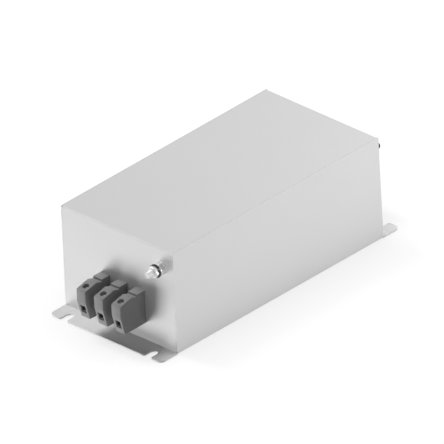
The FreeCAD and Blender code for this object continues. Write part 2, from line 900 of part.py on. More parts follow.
def make_earth_lug(end):
    """Ring lug under the stud head, its barrel pointing down the wall."""
    body = new_body(f"{end}_earth_lug")
    tip = -size.lug_tongue
    tongue = size.lug_barrel_radius
    barrel_height = size.lug_thick - size.lug_barrel_radius
    ring = circles(body, "ring", "XY_Plane", [(0.0, 0.0)], size.lug_radius)
    pad(body, "ring_pad", ring, size.lug_thick)
    strip = outline(body, "tongue", "XY_Plane", box_corners(-tongue, tongue, tip, 0.0))
    pad(body, "tongue_pad", strip, size.lug_thick)
    barrel = circles(body, "barrel", "XZ_Plane", [(0.0, barrel_height)], size.lug_barrel_radius, lift=-tip)
    pad(body, "barrel_pad", barrel, size.lug_barrel_length)
    eye = circles(body, "eye", "XY_Plane", [(0.0, 0.0)], size.stud_radius + size.nut_play)
    pocket(body, "eye_cut", eye, size.lug_thick, upward=True)
    bore_radius = size.lead_radius + size.screw_play
    bore = circles(body, "barrel_bore", "XZ_Plane", [(0.0, barrel_height)], bore_radius, lift=-tip)
    pocket(body, "barrel_bore_cut", bore, size.lug_barrel_length, upward=True)
    stud_placement(body, end, -head_seat, 0.0 if end == "line" else 2 * QUARTER)


def rounded_path(points, radius):
    """Straight runs through the points, joined by tangent arcs of one radius."""
    edges = []
    here = points[0]
    for i in range(1, len(points) - 1):
        arrive = (points[i] - points[i - 1]).normalize()
        leave = (points[i + 1] - points[i]).normalize()
        turn = arrive.getAngle(leave)
        reach = radius * math.tan(turn / 2)
        start = points[i] - arrive * reach
        end = points[i] + leave * reach
        toward = (leave - arrive).normalize()
        middle = points[i] + toward * (radius / math.cos(turn / 2) - radius)
        edges.append(Part.LineSegment(here, start).toShape())
        edges.append(Part.Arc(start, middle, end).toShape())
        here = end
    edges.append(Part.LineSegment(here, points[-1]).toShape())
    return Part.Wire(edges)


def round_rod(label, path, radius):
    """A rod or wire of round section along a path."""
    first = path.OrderedEdges[0]
    start = first.valueAt(first.FirstParameter)
    direction = first.tangentAt(first.FirstParameter)
    section = Part.Wire([Part.Circle(start, direction, radius).toShape()])
    rod = doc.addObject("Part::Feature", label)
    rod.Shape = path.makePipeShell([section], True, False, 1)
    return rod


def make_earth_lead(end):
    """Insulated lead from the lug's barrel down to the board."""
    side = ENDS[end]
    wall = (float(half_length) - float(head_seat) + float(size.lug_thick)) * side
    away = wall - float(size.lug_barrel_radius) * side
    x = float(stud_x)
    top = float(stud_z) - float(size.lug_tongue) - 1.0
    landing = (float(half_length) - float(size.sheet) - float(size.lead_inset)) * side
    knee = float(board_top) + 2.0 * float(size.lead_bend)
    points = [
        FreeCAD.Vector(x, away, top),
        FreeCAD.Vector(x, away, knee + float(size.lead_bend)),
        FreeCAD.Vector(x, landing, knee),
        FreeCAD.Vector(x, landing, float(board_top)),
    ]
    path = rounded_path(points, float(size.lead_bend) / 2)
    lead = round_rod(f"{end}_earth_lead", path, float(size.lead_radius))
    node(lead, f"{end}_earth_lead")


def make_insulating_sheet():
    body = new_body("insulating_sheet")
    half_across = side_inside - size.film_side_gap
    half_along = wall_inside - size.foot_width - size.film_foot_gap
    film = outline(body, "film", "XY_Plane", box_corners(
        -half_across,
        half_across,
        -half_along,
        half_along,
        size.board_corner,
    ))
    pad(body, "film_pad", film, size.film_thick)
    holes = circles(body, "standoff_holes", "XY_Plane", standoff_places,
                    size.standoff_across / math.sqrt(3) + size.screw_play)
    pocket(body, "standoff_hole_cut", holes, size.film_thick, upward=True)
    place(body, 0.0, 0.0, size.sheet)


def make_standoffs():
    """Hexagonal pillars clinched into the tray, tapped for the board screws."""
    pillars = []
    height = board_low - size.sheet
    for i, (x, y) in enumerate(standoff_places, start=1):
        name = f"standoff_{i}"
        pillar = doc.addObject("Part::Prism", f"{name}_pillar")
        pillar.Polygon = 6
        bind(pillar, "Circumradius", size.standoff_across / math.sqrt(3))
        bind(pillar, "Height", height)
        place(pillar, 0.0, 0.0, size.sheet)
        stub = cylinder(f"{name}_stub", size.clinch_radius, size.sheet)
        bore = cylinder(f"{name}_bore", size.board_screw_radius + size.screw_play, height)
        place(bore, 0.0, 0.0, size.sheet)
        pillars.append(place(cut(name, fuse(f"{name}_blank", [pillar, stub]), bore), x, y, 0.0))
    group("board_standoffs", pillars)


def make_board_screws():
    screws = []
    for i, (x, y) in enumerate(standoff_places, start=1):
        name = f"board_screw_{i}"
        head = cylinder(f"{name}_head", size.board_screw_head, size.board_screw_head_height)
        shank = cylinder(f"{name}_shank", size.board_screw_radius, size.board_screw_length)
        place(shank, 0.0, 0.0, -size.board_screw_length)
        screws.append(place(fuse(name, [head, shank]), x, y, board_top))
    group("board_screws", screws)


# Chokes: a moulded holder carries the toroid, and each phase has its own third of it.

choke_room = x_cap_y - size.x_cap_width / 2 - size.choke_cap_gap
holder_radius = (choke_room - size.choke_middle_gap) / 2
choke_y = holder_radius + size.choke_middle_gap
core_outer = holder_radius - size.holder_margin - size.coil_gap - size.coil_wire * 2
core_inner = core_outer - size.core_radial
coil_inner = core_inner - size.coil_gap - size.coil_wire
coil_outer = core_outer + size.coil_gap + size.coil_wire
coil_low = board_top + size.holder_thick + size.coil_wire
core_low = coil_low + size.coil_wire + size.coil_gap
core_top = core_low + size.core_height
coil_top = core_top + size.coil_gap + size.coil_wire
coil_turns = int(float(size.coil_turns))


def coil_angle(phase, turn):
    """Angle of one turn, with the turns of a phase centred in its third of the toroid."""
    middle = QUARTER + THIRD * (phase - 1) + THIRD / 2
    return middle + COIL_STEP_DEGREES * (turn - coil_turns / 2)


def around(radius, angle, height, centre_y):
    """A point on a circle about a choke's own upright axis."""
    turned = math.radians(angle)
    x = float(radius) * math.cos(turned)
    y = float(radius) * math.sin(turned) + centre_y
    return FreeCAD.Vector(x, y, float(height))


def lead_places():
    """Where the six coil ends pass through the holder and the board, about the choke's axis."""
    places = []
    for phase in PHASES:
        for turn in (0, coil_turns):
            angle = math.radians(coil_angle(phase, turn))
            places.append((coil_outer * math.cos(angle), coil_outer * math.sin(angle)))
    return places


def make_core(end):
    body = new_body(f"{end}_choke_core")
    ring = outline(body, "ring_section", "XZ_Plane", box_corners(
        core_inner, core_outer, core_low, core_top, size.core_round))
    turned = body.newObject("PartDesign::Revolution", "ring")
    turned.Profile = ring
    turned.ReferenceAxis = (origin_part(body, "Z_Axis"), [""])
    turned.Angle = 360.0
    place(body, 0.0, choke_y * ENDS[end], 0.0)


def make_holder(end):
    """Moulded base with a three-spoke divider in the bore and a peg into the board."""
    body = new_body(f"{end}_choke_holder")
    base = circles(body, "base", "XY_Plane", [(0.0, 0.0)], holder_radius, lift=board_top)
    pad(body, "base_pad", base, size.holder_thick)
    peg = circles(body, "peg", "XY_Plane", [(0.0, 0.0)], size.holder_peg, lift=board_low)
    pad(body, "peg_pad", peg, size.board_thick)
    spoke = outline(body, "spoke", "XY_Plane", box_corners(
        -size.spoke_thick / 2,
        size.spoke_thick / 2,
        0.0,
        core_inner - size.coil_gap,
    ), lift=board_top)
    spoke_pad = pad(body, "spoke_pad", spoke, core_top - board_top)
    spokes = body.newObject("PartDesign::PolarPattern", "three_spokes")
    spokes.Originals = [spoke_pad]
    spokes.Axis = (origin_part(body, "Z_Axis"), [""])
    spokes.Angle = 360.0
    spokes.Occurrences = len(PHASES)
    body.Tip = spokes
    doc.recompute()
    holes = circles(body, "lead_holes", "XY_Plane", lead_places(), size.coil_wire + size.screw_play * 2,
                    lift=board_top)
    pocket(body, "lead_hole_cut", holes, size.holder_thick, upward=True)
    place(body, 0.0, choke_y * ENDS[end], 0.0)


def make_winding(end, phase):
    """One continuous wire: up the bore, over, slanting down the outside and back under."""
    centre_y = float(choke_y) * ENDS[end]
    tail = float(solder_level)
    points = [around(coil_outer, coil_angle(phase, 0), tail, centre_y)]
    for turn in range(coil_turns):
        angle = coil_angle(phase, turn)
        points.append(around(coil_outer, angle, coil_low, centre_y))
        points.append(around(coil_inner, angle, coil_low, centre_y))
        points.append(around(coil_inner, angle, coil_top, centre_y))
        points.append(around(coil_outer, angle, coil_top, centre_y))
    last = coil_angle(phase, coil_turns)
    points.append(around(coil_outer, last, coil_low, centre_y))
    points.append(around(coil_outer, last, tail, centre_y))
    label = f"{end}_winding_{phase}"
    node(round_rod(label, Part.makePolygon(points), float(size.coil_wire)), label)


def x_cap_centre(end, phase):
    return (x_cap_length + size.x_cap_gap) * (phase - 2), x_cap_y * ENDS[end]


def make_x_capacitor(end, phase):
    """Moulded box capacitor with two leads through the board."""
    body = new_body(f"{end}_x_capacitor_{phase}")
    half = x_cap_length / 2
    deep = size.x_cap_width / 2
    case = outline(body, "case", "XY_Plane", box_corners(-half, half, -deep, deep, size.x_cap_round))
    pad(body, "case_pad", case, size.x_cap_height)
    drop = board_top - solder_level
    leads = circles(body, "leads", "XY_Plane",
                    [(size.x_cap_lead_inset - half, 0.0), (half - size.x_cap_lead_inset, 0.0)],
                    size.x_cap_lead_radius, lift=-drop)
    pad(body, "lead_pad", leads, drop)
    x, y = x_cap_centre(end, phase)
    place(body, x, y, board_top)


def y_cap_centre(end):
    return size.y_cap_side - board_half_width, size.y_cap_y * ENDS[end]


def make_y_capacitor(end):
    """Disc capacitor standing on its leads."""
    name = f"{end}_y_capacitor"
    disc = cylinder(f"{name}_disc", size.y_cap_radius, size.y_cap_thick)
    place(disc, -size.y_cap_thick / 2, 0.0, size.y_cap_lift + size.y_cap_radius, ALONG_Y, QUARTER)
    rise = board_top - solder_level
    lead_length = rise + size.y_cap_lift + size.y_cap_radius
    pieces = [disc]
    for i, side in enumerate((-1, 1)):
        lead = cylinder(f"{name}_lead_{i}", size.small_lead_radius, lead_length)
        pieces.append(place(lead, 0.0, size.y_cap_leads / 2 * side, -rise))
    x, y = y_cap_centre(end)
    node(place(fuse(name, pieces), x, y, board_top), name)


def resistor_x(number):
    return board_half_width - size.resistor_side - size.resistor_pitch * (len(PHASES) - number)


def make_resistor(number):
    """Axial resistor lying above the board on its bent leads."""
    x = float(resistor_x(number))
    y = -float(size.resistor_y)
    height = float(board_top) + float(size.resistor_lift) + float(size.resistor_radius)
    span = float(size.resistor_lead_span) / 2
    body_half = float(size.resistor_length) / 2
    points = [
        FreeCAD.Vector(x, y - span, float(solder_level)),
        FreeCAD.Vector(x, y - span, height),
        FreeCAD.Vector(x, y + span, height),
        FreeCAD.Vector(x, y + span, float(solder_level)),
    ]
    label = f"discharge_resistor_{number}"
    rod = round_rod(label, Part.makePolygon(points), float(size.small_lead_radius))
    barrel = Part.makeCylinder(
        float(size.resistor_radius), 2 * body_half, FreeCAD.Vector(x, y - body_half, height), ALONG_Y)
    rod.Shape = rod.Shape.fuse(barrel)
    node(rod, label)


def make_board():
    """Circuit board with a hole or slot for every lead that is soldered under it."""
    body = new_body("circuit_board")
    plate = outline(body, "plate", "XY_Plane", box_corners(
        -board_half_width,
        board_half_width,
        -board_half_length,
        board_half_length,
        size.board_corner,
    ))
    pad(body, "plate_pad", plate, size.board_thick)
    screw_holes = circles(body, "screw_holes", "XY_Plane", standoff_places,
                          size.board_screw_radius + size.screw_play)
    pocket(body, "screw_hole_cut", screw_holes, upward=True)
    coil_ends = [(x, y + choke_y * side) for side in ENDS.values() for x, y in lead_places()]
    coil_holes = circles(body, "coil_holes", "XY_Plane", coil_ends, size.coil_wire + size.screw_play * 2)
    pocket(body, "coil_hole_cut", coil_holes, upward=True)
    pegs = circles(body, "peg_holes", "XY_Plane", [(0.0, choke_y * side) for side in ENDS.values()],
                   size.holder_peg + size.screw_play)
    pocket(body, "peg_hole_cut", pegs, upward=True)
    cap_leads = []
    for end in ENDS:
        for phase in PHASES:
            x, y = x_cap_centre(end, phase)
            cap_leads += [(x + (x_cap_length / 2 - size.x_cap_lead_inset) * side, y) for side in (-1, 1)]
    cap_bore = size.x_cap_lead_radius + size.screw_play
    cap_holes = circles(body, "x_cap_holes", "XY_Plane", cap_leads, cap_bore)
    pocket(body, "x_cap_hole_cut", cap_holes, upward=True)
    small_leads = []
    for end in ENDS:
        x, y = y_cap_centre(end)
        small_leads += [(x, y + size.y_cap_leads / 2 * side) for side in (-1, 1)]
    for number in PHASES:
        x = resistor_x(number)
        small_leads += [(x, size.resistor_lead_span / 2 * side - size.resistor_y) for side in (-1, 1)]
    small_holes = circles(body, "small_holes", "XY_Plane", small_leads,
                          size.small_lead_radius + size.screw_play)
    pocket(body, "small_hole_cut", small_holes, upward=True)
    half_thick = size.bar_thick / 2 + size.cage_play
    half_slot = size.bar_width / 2 + size.cage_play
    for end, side in ENDS.items():
        slot = outline(body, f"{end}_bar_slot", "XY_Plane", box_corners(
            size.block_first - half_slot,
            size.block_first + half_slot,
            bar_foot_middle * side - half_thick,
            bar_foot_middle * side + half_thick,
        ))
        slot_cut = pocket(body, f"{end}_bar_slot_cut", slot, upward=True)
        row_of(body, f"{end}_bar_slots", [slot_cut], size.block_pitch * 2, len(PHASES))
    place(body, 0.0, 0.0, board_low)


make_base_tray()
make_cover()
make_cover_screws()
for wall in ENDS:
    for pole in PHASES:
        make_block(wall, pole)
        make_clamp(wall, pole)
        make_busbar(wall, pole)
    make_clamp_screws(wall)
    make_earth_stud(wall)
    make_earth_lug(wall)
    make_earth_lead(wall)
make_earth_fittings()
make_insulating_sheet()
make_board()
make_standoffs()
make_board_screws()
for wall in ENDS:
    make_core(wall)
    make_holder(wall)
    make_y_capacitor(wall)
    for pole in PHASES:
        make_winding(wall, pole)
        make_x_capacitor(wall, pole)
for pole in PHASES:
    make_resistor(pole)
doc.recompute()

for thing in doc.Objects:
    if "Invalid" in thing.State or "Error" in thing.State:
        raise RuntimeError(f"{thing.Name} failed: {thing.State}")
for thing in nodes:
    if thing.Shape.isNull() or not thing.Shape.isValid() or not thing.Shape.Solids:
        raise RuntimeError(f"{thing.Label} has no valid solid")

os.makedirs("parts", exist_ok=True)
for thing in nodes:
    thing.Shape.exportStep(f"parts/{thing.Label}.step")
print(f"{len(nodes)} nodes, {sum(len(thing.Shape.Solids) for thing in nodes)} solids")
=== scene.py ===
import math
import bmesh
import bpy
from mathutils import Matrix, Vector


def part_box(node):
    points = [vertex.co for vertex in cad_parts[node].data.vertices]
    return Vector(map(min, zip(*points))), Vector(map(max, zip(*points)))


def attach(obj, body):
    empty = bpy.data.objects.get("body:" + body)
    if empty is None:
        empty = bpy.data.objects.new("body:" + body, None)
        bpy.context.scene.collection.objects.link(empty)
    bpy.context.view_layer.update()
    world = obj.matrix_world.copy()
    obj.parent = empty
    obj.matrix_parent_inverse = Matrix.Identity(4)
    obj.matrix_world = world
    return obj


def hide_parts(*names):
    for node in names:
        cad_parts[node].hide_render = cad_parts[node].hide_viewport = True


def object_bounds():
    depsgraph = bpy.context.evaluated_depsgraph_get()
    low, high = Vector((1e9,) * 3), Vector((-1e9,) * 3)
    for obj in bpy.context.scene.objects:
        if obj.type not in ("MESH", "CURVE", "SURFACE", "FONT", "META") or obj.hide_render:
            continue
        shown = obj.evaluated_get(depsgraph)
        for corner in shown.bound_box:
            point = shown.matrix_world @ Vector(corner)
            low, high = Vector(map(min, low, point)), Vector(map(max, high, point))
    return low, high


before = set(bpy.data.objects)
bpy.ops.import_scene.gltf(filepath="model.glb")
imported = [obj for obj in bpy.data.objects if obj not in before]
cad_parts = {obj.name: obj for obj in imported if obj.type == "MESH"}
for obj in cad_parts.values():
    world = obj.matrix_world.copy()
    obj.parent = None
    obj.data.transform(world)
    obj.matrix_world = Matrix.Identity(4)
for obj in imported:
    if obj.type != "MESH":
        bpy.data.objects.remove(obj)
solids_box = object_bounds()
MILLIMETRE = 0.001

# Camera. The photograph has no converging edges, so the camera is orthographic. It looks down on
# the line end over the right front corner, a little rolled, as the case's three edges show.
VIEW_AZIMUTH = math.radians(44.938)
VIEW_ELEVATION = math.radians(30.064)
VIEW_ROLL = math.radians(-2.894)
VIEW_CENTRE = Vector((0.02609, -0.02627, 0.06053))
VIEW_WIDTH = 0.30206
VIEW_DISTANCE = 1.2

lens = bpy.data.cameras.new("photo_camera")
lens.type = "ORTHO"
lens.ortho_scale = VIEW_WIDTH
camera = bpy.data.objects.new("photo_camera", lens)
bpy.context.scene.collection.objects.link(camera)
aim = Matrix.Rotation(VIEW_AZIMUTH, 4, "Z") @ Matrix.Rotation(math.pi / 2 - VIEW_ELEVATION, 4, "X")
aim = aim @ Matrix.Rotation(VIEW_ROLL, 4, "Z")
camera.matrix_world = Matrix.Translation(VIEW_CENTRE + aim.col[2].xyz * VIEW_DISTANCE) @ aim
bpy.context.scene.camera = camera
bpy.context.scene.view_settings.view_transform = "Standard"

# Studio. A white sweep under a weak dome, with soft lamps on the left, above and on the right
# behind. Weak lamps fill the right side and the line wall, a spot picks out the rear ear, and two
# lamps below the sweep throw the shadows of the terminals and the stud up the line wall.
SWEEP_SIZE = 6.0
SWEEP_DROP = 0.0003
SWEEP_TONE = 0.25
SWEEP_SHADOW = 0.12
SWEEP_GLOW = 1.06
CONTACT_REACH = 0.05
CONTACT_SHADE = 0.29
CONTACT_RAYS = 16
FOOT_REACH = 0.017
DOME_LEVEL = 0.05
SPOT_BLEND = 0.5
SPOT_RADIUS = 0.02
SPOT_CONE = math.radians(4.0)
REAR_EAR = Vector((0.046, 0.110, 0.001))
FROM_BELOW = (-0.5, -0.8, -0.45)


class Value:
    """An output socket of a node tree. Arithmetic on it adds Math nodes."""

    def __init__(self, graph, socket):
        self.graph = graph
        self.socket = socket

    def __add__(self, other):
        return self.graph.maths("ADD", self, other)

    def __sub__(self, other):
        return self.graph.maths("SUBTRACT", self, other)

    def __rsub__(self, other):
        return self.graph.maths("SUBTRACT", other, self)

    def __mul__(self, other):
        return self.graph.maths("MULTIPLY", self, other)

    def __truediv__(self, other):
        return self.graph.maths("DIVIDE", self, other)

    def __rtruediv__(self, other):
        return self.graph.maths("DIVIDE", other, self)

    __radd__ = __add__
    __rmul__ = __mul__


class Step:
    """One node, whose outputs are read by name."""

    def __init__(self, graph, node):
        self.graph = graph
        self.node = node

    def __getitem__(self, name):
        found = [socket for socket in self.node.outputs if socket.name == name and socket.enabled]
        return Value(self.graph, found[0])


class Graph:
    """A node tree that is built call by call."""

    def __init__(self, tree):
        self.tree = tree

    def feed(self, socket, value):
        """Links a value, or each value of a list, to a socket, or sets the socket's own number."""
        for each in value if isinstance(value, list) else [value]:
            if isinstance(each, Value):
                self.tree.links.new(each.socket, socket)
            else:
                socket.default_value = each

    def add(self, kind, settings=None, *values, **named):
        """Adds a node: its settings first, then its sockets in order, then sockets by name."""
        node = self.tree.nodes.new(kind)
        for name, setting in (settings or {}).items():
            if name == "stops":
                self.set_stops(node.color_ramp, setting)
            elif name == "ways":
                while len(node.index_switch_items) < setting:
                    node.index_switch_items.new()
            else:
                setattr(node, name, setting)
        usable = [socket for socket in node.inputs if socket.enabled]
        for socket, value in zip(usable, values):
            self.feed(socket, value)
        for name, value in named.items():
            self.feed([socket for socket in usable if socket.name == name.replace("_", " ")][0], value)
        return Step(self, node)

    def set_stops(self, ramp, stops):
        while len(ramp.elements) < len(stops):
            ramp.elements.new(0.5)
        for element, (position, colour) in zip(ramp.elements, stops):
            element.position = position
            element.color = colour

    def maths(self, operation, *operands):
        return self.add("ShaderNodeMath", {"operation": operation}, *operands)["Value"]

    def split(self, vector):
        """A vector's X, Y and Z, read by name."""
        return self.add("ShaderNodeSeparateXYZ", None, vector)

    def join(self, x, y, z):
        return self.add("ShaderNodeCombineXYZ", None, x, y, z)["Vector"]

    def blend_shaders(self, share, first, second):
        return self.add("ShaderNodeMixShader", None, share, first, second)["Shader"]

    def blend_colours(self, share, first, second):
        return self.add("ShaderNodeMix", {"data_type": "RGBA"}, Factor=share, A=first, B=second)["Result"]

    def noise(self, place, scale, detail=2.0, roughness=0.5):
        """Even noise from 0 to 1, with its scale in grains for each metre."""
        return self.add("ShaderNodeTexNoise", None, Vector=place, Scale=scale, Detail=detail,
                        Roughness=roughness)["Fac"]

    def sway(self, middle, noise, spread):
        """A number that follows noise by half of its spread to each side of the middle."""
        return middle + (noise - 0.5) * spread

    def bump(self, height, strength, depth):
        """The normal over a relief of the given depth in millimetres."""
        return self.add("ShaderNodeBump", Strength=strength, Distance=depth * MILLIMETRE,
                        Height=height)["Normal"]


def new_finish(name):
    """An empty material and its graph."""
    material = bpy.data.materials.new(name)
    material.use_nodes = True
    material.node_tree.nodes.clear()
    return material, Graph(material.node_tree)


def tint(level, hue=(1.0, 1.0, 1.0)):
    """A colour of one hue at a level of light. Without a hue it is a grey."""
    return tuple(min(1.0, level * share) for share in hue) + (1.0,)


def background_rays(graph):
    """One for the rays that show the background: to the camera, in gloss and through glass."""
    path = graph.add("ShaderNodeLightPath")
    mirrored = graph.maths("MAXIMUM", path["Is Glossy Ray"], path["Is Transmission Ray"])
    return graph.maths("MAXIMUM", path["Is Camera Ray"], mirrored)


def make_sweep():
    """The floor: white where seen, with a painted contact shade near the case, and dull paper where it
    throws light back.

    Light from below passes it, but for a strip that fades out beside the right wall's foot."""
    form = bmesh.new()
    bmesh.ops.create_grid(form, x_segments=2, y_segments=2, size=SWEEP_SIZE / 2)
    bmesh.ops.translate(form, verts=form.verts, vec=(0, 0, -SWEEP_DROP))
    mesh = bpy.data.meshes.new("sweep")
    form.to_mesh(mesh)
    form.free()
    sweep = bpy.data.objects.new("sweep", mesh)
    bpy.context.scene.collection.objects.link(sweep)

    material, graph = new_finish("sweep_white")
    white = tint(1.0)
    paper = graph.add("ShaderNodeBsdfDiffuse", Color=tint(SWEEP_TONE))["BSDF"]
    shaded = graph.add("ShaderNodeBsdfDiffuse", Color=white)["BSDF"]
    glow = graph.add("ShaderNodeEmission", Color=white, Strength=SWEEP_GLOW)["Emission"]
    # Painted shade: the seen glow dims where the case closes off the open sky nearby.
    dusk = graph.add("ShaderNodeEmission", Color=white, Strength=SWEEP_GLOW - CONTACT_SHADE)["Emission"]
    open_sky = graph.add("ShaderNodeAmbientOcclusion", {"samples": CONTACT_RAYS},
                         Distance=CONTACT_REACH)["AO"]
    shown = graph.blend_shaders(SWEEP_SHADOW, graph.blend_shaders(open_sky, dusk, glow), shaded)
    seen = graph.blend_shaders(background_rays(graph), paper, shown)
    clear = graph.add("ShaderNodeBsdfTransparent", Color=white)["BSDF"]
    place = graph.add("ShaderNodeTexCoord")["Object"]
    past_wall = graph.split(place)["X"] - solids_box[1].x
    beside = graph.maths("GREATER_THAN", past_wall, 0.0)
    held = graph.maths("EXPONENT", past_wall / -FOOT_REACH) * beside
    shadow_ray = graph.add("ShaderNodeLightPath")["Is Shadow Ray"]
    surface = graph.blend_shaders(shadow_ray * (1 - held), seen, clear)
    graph.add("ShaderNodeOutputMaterial", Surface=surface)
    mesh.materials.append(material)


def make_dome():
    """The surroundings: white where they are seen, and a weak even light on the case."""
    world = bpy.data.worlds.new("dome")
    bpy.context.scene.world = world
    world.use_nodes = True
    world.node_tree.nodes.clear()
    graph = Graph(world.node_tree)
    strength = DOME_LEVEL + background_rays(graph) * (1.0 - DOME_LEVEL)
    sky = graph.add("ShaderNodeBackground", Color=tint(1.0), Strength=strength)["Background"]
    graph.add("ShaderNodeOutputWorld", Surface=sky)


def place_light(name, data, target, toward, distance):
    """Puts a light at a distance from its target and turns it to face the target."""
    light = bpy.data.objects.new(name, data)
    bpy.context.scene.collection.objects.link(light)
    facing = Vector(toward).to_track_quat("Z", "Y").to_matrix().to_4x4()
    light.matrix_world = Matrix.Translation(target + Vector(toward).normalized() * distance) @ facing
    return light


def make_lamp(name, toward, distance, across, level):
    """A soft lamp, across as wide and high, facing the case. Its level is what white would show."""
    data = bpy.data.lights.new(name, "AREA")
    data.shape = "RECTANGLE"
    data.size, data.size_y = across
    data.energy = level * (math.pi * distance) ** 2
    return place_light(name, data, (solids_box[0] + solids_box[1]) / 2, toward, distance)


def make_spot(name, target, toward, distance, level):
    """A narrow soft-edged lamp on one target, out of the camera's sight."""
    data = bpy.data.lights.new(name, "SPOT")
    data.spot_size = SPOT_CONE
    data.spot_blend = SPOT_BLEND
    data.shadow_soft_size = SPOT_RADIUS
    data.energy = level * (2 * math.pi * distance) ** 2
    spot = place_light(name, data, target, toward, distance)
    spot.visible_camera = False
    return spot


def let_light_past(lamp, *pieces):
    """These pieces cast no shadow of the lamp."""
    if lamp.light_linking.blocker_collection is None:
        lamp.light_linking.blocker_collection = bpy.data.collections.new(f"{lamp.name}_blockers")
    blockers = lamp.light_linking.blocker_collection
    for piece in pieces:
        blockers.objects.link(piece)
    for blocker in blockers.collection_objects:
        blocker.light_linking.link_state = "EXCLUDE"


def choose_lit(lamp, state, piece):
    """INCLUDE lights this piece alone, and EXCLUDE lights all others."""
    receivers = bpy.data.collections.new(f"{lamp.name}_receivers")
    lamp.light_linking.receiver_collection = receivers
    receivers.objects.link(piece)
    receivers.collection_objects[0].light_linking.link_state = state


make_sweep()
make_dome()
make_lamp("left_lamp", (-0.70, -0.09, 1.0), distance=6.0, across=(1.2, 3.0), level=0.80)
make_lamp("top_lamp", (0.65, 0.7, 1.0), distance=0.5, across=(0.25, 0.25), level=0.25)
make_lamp("right_back_lamp", (0.66, 0.72, 0.05), distance=6.0, across=(2.4, 1.2), level=0.815)
make_lamp("right_fill_lamp", (1.0, -0.04, -0.8), distance=3.0, across=(1.2, 1.2), level=0.24)
right_front_lamp = make_lamp(
    "right_front_lamp", (1.0, -0.5, 0.25), distance=3.0, across=(1.2, 1.2), level=0.10)
choose_lit(right_front_lamp, "EXCLUDE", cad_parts["base_tray"])
rear_spot = make_spot("rear_spot", REAR_EAR, (0.0, 1.0, 0.8), distance=1.0, level=0.50)
choose_lit(rear_spot, "INCLUDE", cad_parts["base_tray"])
under_lamp = make_lamp("under_lamp", FROM_BELOW, distance=1.5, across=(0.65, 0.65), level=0.36)
let_light_past(under_lamp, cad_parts["base_tray"])
under_lamp_low = make_lamp("under_lamp_low", FROM_BELOW, distance=1.5, across=(0.65, 0.65), level=0.70)
under_lamp.visible_glossy = under_lamp_low.visible_glossy = False

# Case. The tray and the cover are folded from 1 mm sheet, painted an even light grey with a fine
# satin tooth. The two sheets meet in a hairline joint along the top edges and down the end walls.
CASE_TONE = 0.66
CASE_DRIFT = 0.010
CASE_BEND_HIGHLIGHT_TONE = 0.76
CASE_ROUGHNESS = 0.48
CASE_ROUGHNESS_SPREAD = 0.16
FLAT_FACE = 0.99
BEND_MIDDLE = 0.75


def make_case_finish():
    """Satin paint that drifts a little in tone, with a painted highlight: paler on the round of the bends.
    """
    material, graph = new_finish("case_paint")
    coordinates = graph.add("ShaderNodeTexCoord")
    drift = graph.noise(coordinates["Object"], scale=16.0)
    tooth = graph.noise(coordinates["Object"], scale=1400.0, detail=3.0, roughness=0.6)
    plain = graph.blend_colours(drift, tint(CASE_TONE - CASE_DRIFT), tint(CASE_TONE + CASE_DRIFT))
    # Painted highlight: where the normal leans between the faces, on the round of the bends, the paint turns
    # paler to lift the shade there.
    unsigned = graph.add("ShaderNodeVectorMath", {"operation": "ABSOLUTE"}, coordinates["Normal"])
    facing = graph.split(unsigned["Vector"])
    flattest = graph.maths("MAXIMUM", graph.maths("MAXIMUM", facing["X"], facing["Y"]), facing["Z"])
    painted_bend_highlight = graph.add("ShaderNodeMapRange", Value=flattest, From_Min=FLAT_FACE,
                     From_Max=BEND_MIDDLE)["Result"]
    colour = graph.blend_colours(painted_bend_highlight, plain, tint(CASE_BEND_HIGHLIGHT_TONE))
    roughness = graph.sway(CASE_ROUGHNESS, tooth, CASE_ROUGHNESS_SPREAD)
    relief = graph.bump(tooth, strength=0.12, depth=0.05)
    paint = graph.add("ShaderNodeBsdfPrincipled", Base_Color=colour, Roughness=roughness,
                      Normal=relief)["BSDF"]
    graph.add("ShaderNodeOutputMaterial", Surface=paint)
    return material


def dress(material, *names):
    """Gives CAD nodes a finish of their own."""
    for name in names:
        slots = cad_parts[name].data.materials
        slots.clear()
        slots.append(material)


dress(make_case_finish(), "base_tray", "cover")
wall_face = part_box("cover")[1][1] / MILLIMETRE

# Cover screws. Four countersunk steel screws with a cross recess go up through the tray into the
# threaded foot blocks of the cover. They are rolled, bright zinc plated and sit flush underneath.
FOOT_SCREW_X = 30.0
FOOT_SCREW_INSET = 5.0
SIDES = 24
RINGS_A_PITCH = 4
HEAD_RINGS = 7
TIP_TAPER = 1.1
WELD = 0.002
SHARP_EDGE = math.radians(30)
PLATING_SHADES = (0.9, 1.08)
PLATING_ROUGHNESS_SPREAD = 0.2


def make_plated_finish(name, tone, roughness, metallic, hue=(1.0, 1.0, 1.0)):
    """Plated metal: cloudy in tone, with a fine brushed tooth left by turning and tumbling."""
    material, graph = new_finish(name)
    place = graph.add("ShaderNodeTexCoord")["Object"]
    cloud = graph.noise(place, scale=260.0, detail=3.0, roughness=0.6)
    brush = graph.noise(place, scale=2600.0, detail=2.0, roughness=0.7)
    dull, bright = (tint(tone * shade, hue) for shade in PLATING_SHADES)
    metal = graph.add("ShaderNodeBsdfPrincipled", Base_Color=graph.blend_colours(cloud, dull, bright),
                      Metallic=metallic, Roughness=graph.sway(roughness, brush, PLATING_ROUGHNESS_SPREAD),
                      Normal=graph.bump(brush, strength=0.2, depth=0.02))["BSDF"]
    graph.add("ShaderNodeOutputMaterial", Surface=metal)
    return material


def new_tree(name, **inputs):
    """An empty geometry tree that has named inputs, and the step that reads them."""
    tree = bpy.data.node_groups.new(name, "GeometryNodeTree")
    tree.interface.new_socket("Geometry", in_out="OUTPUT", socket_type="NodeSocketGeometry")
    tree.interface.new_socket("Geometry", in_out="INPUT", socket_type="NodeSocketGeometry")
    for label, kind in inputs.items():
        tree.interface.new_socket(label.replace("_", " "), in_out="INPUT", socket_type=f"NodeSocket{kind}")
    graph = Graph(tree)
    return graph, graph.add("NodeGroupInput")


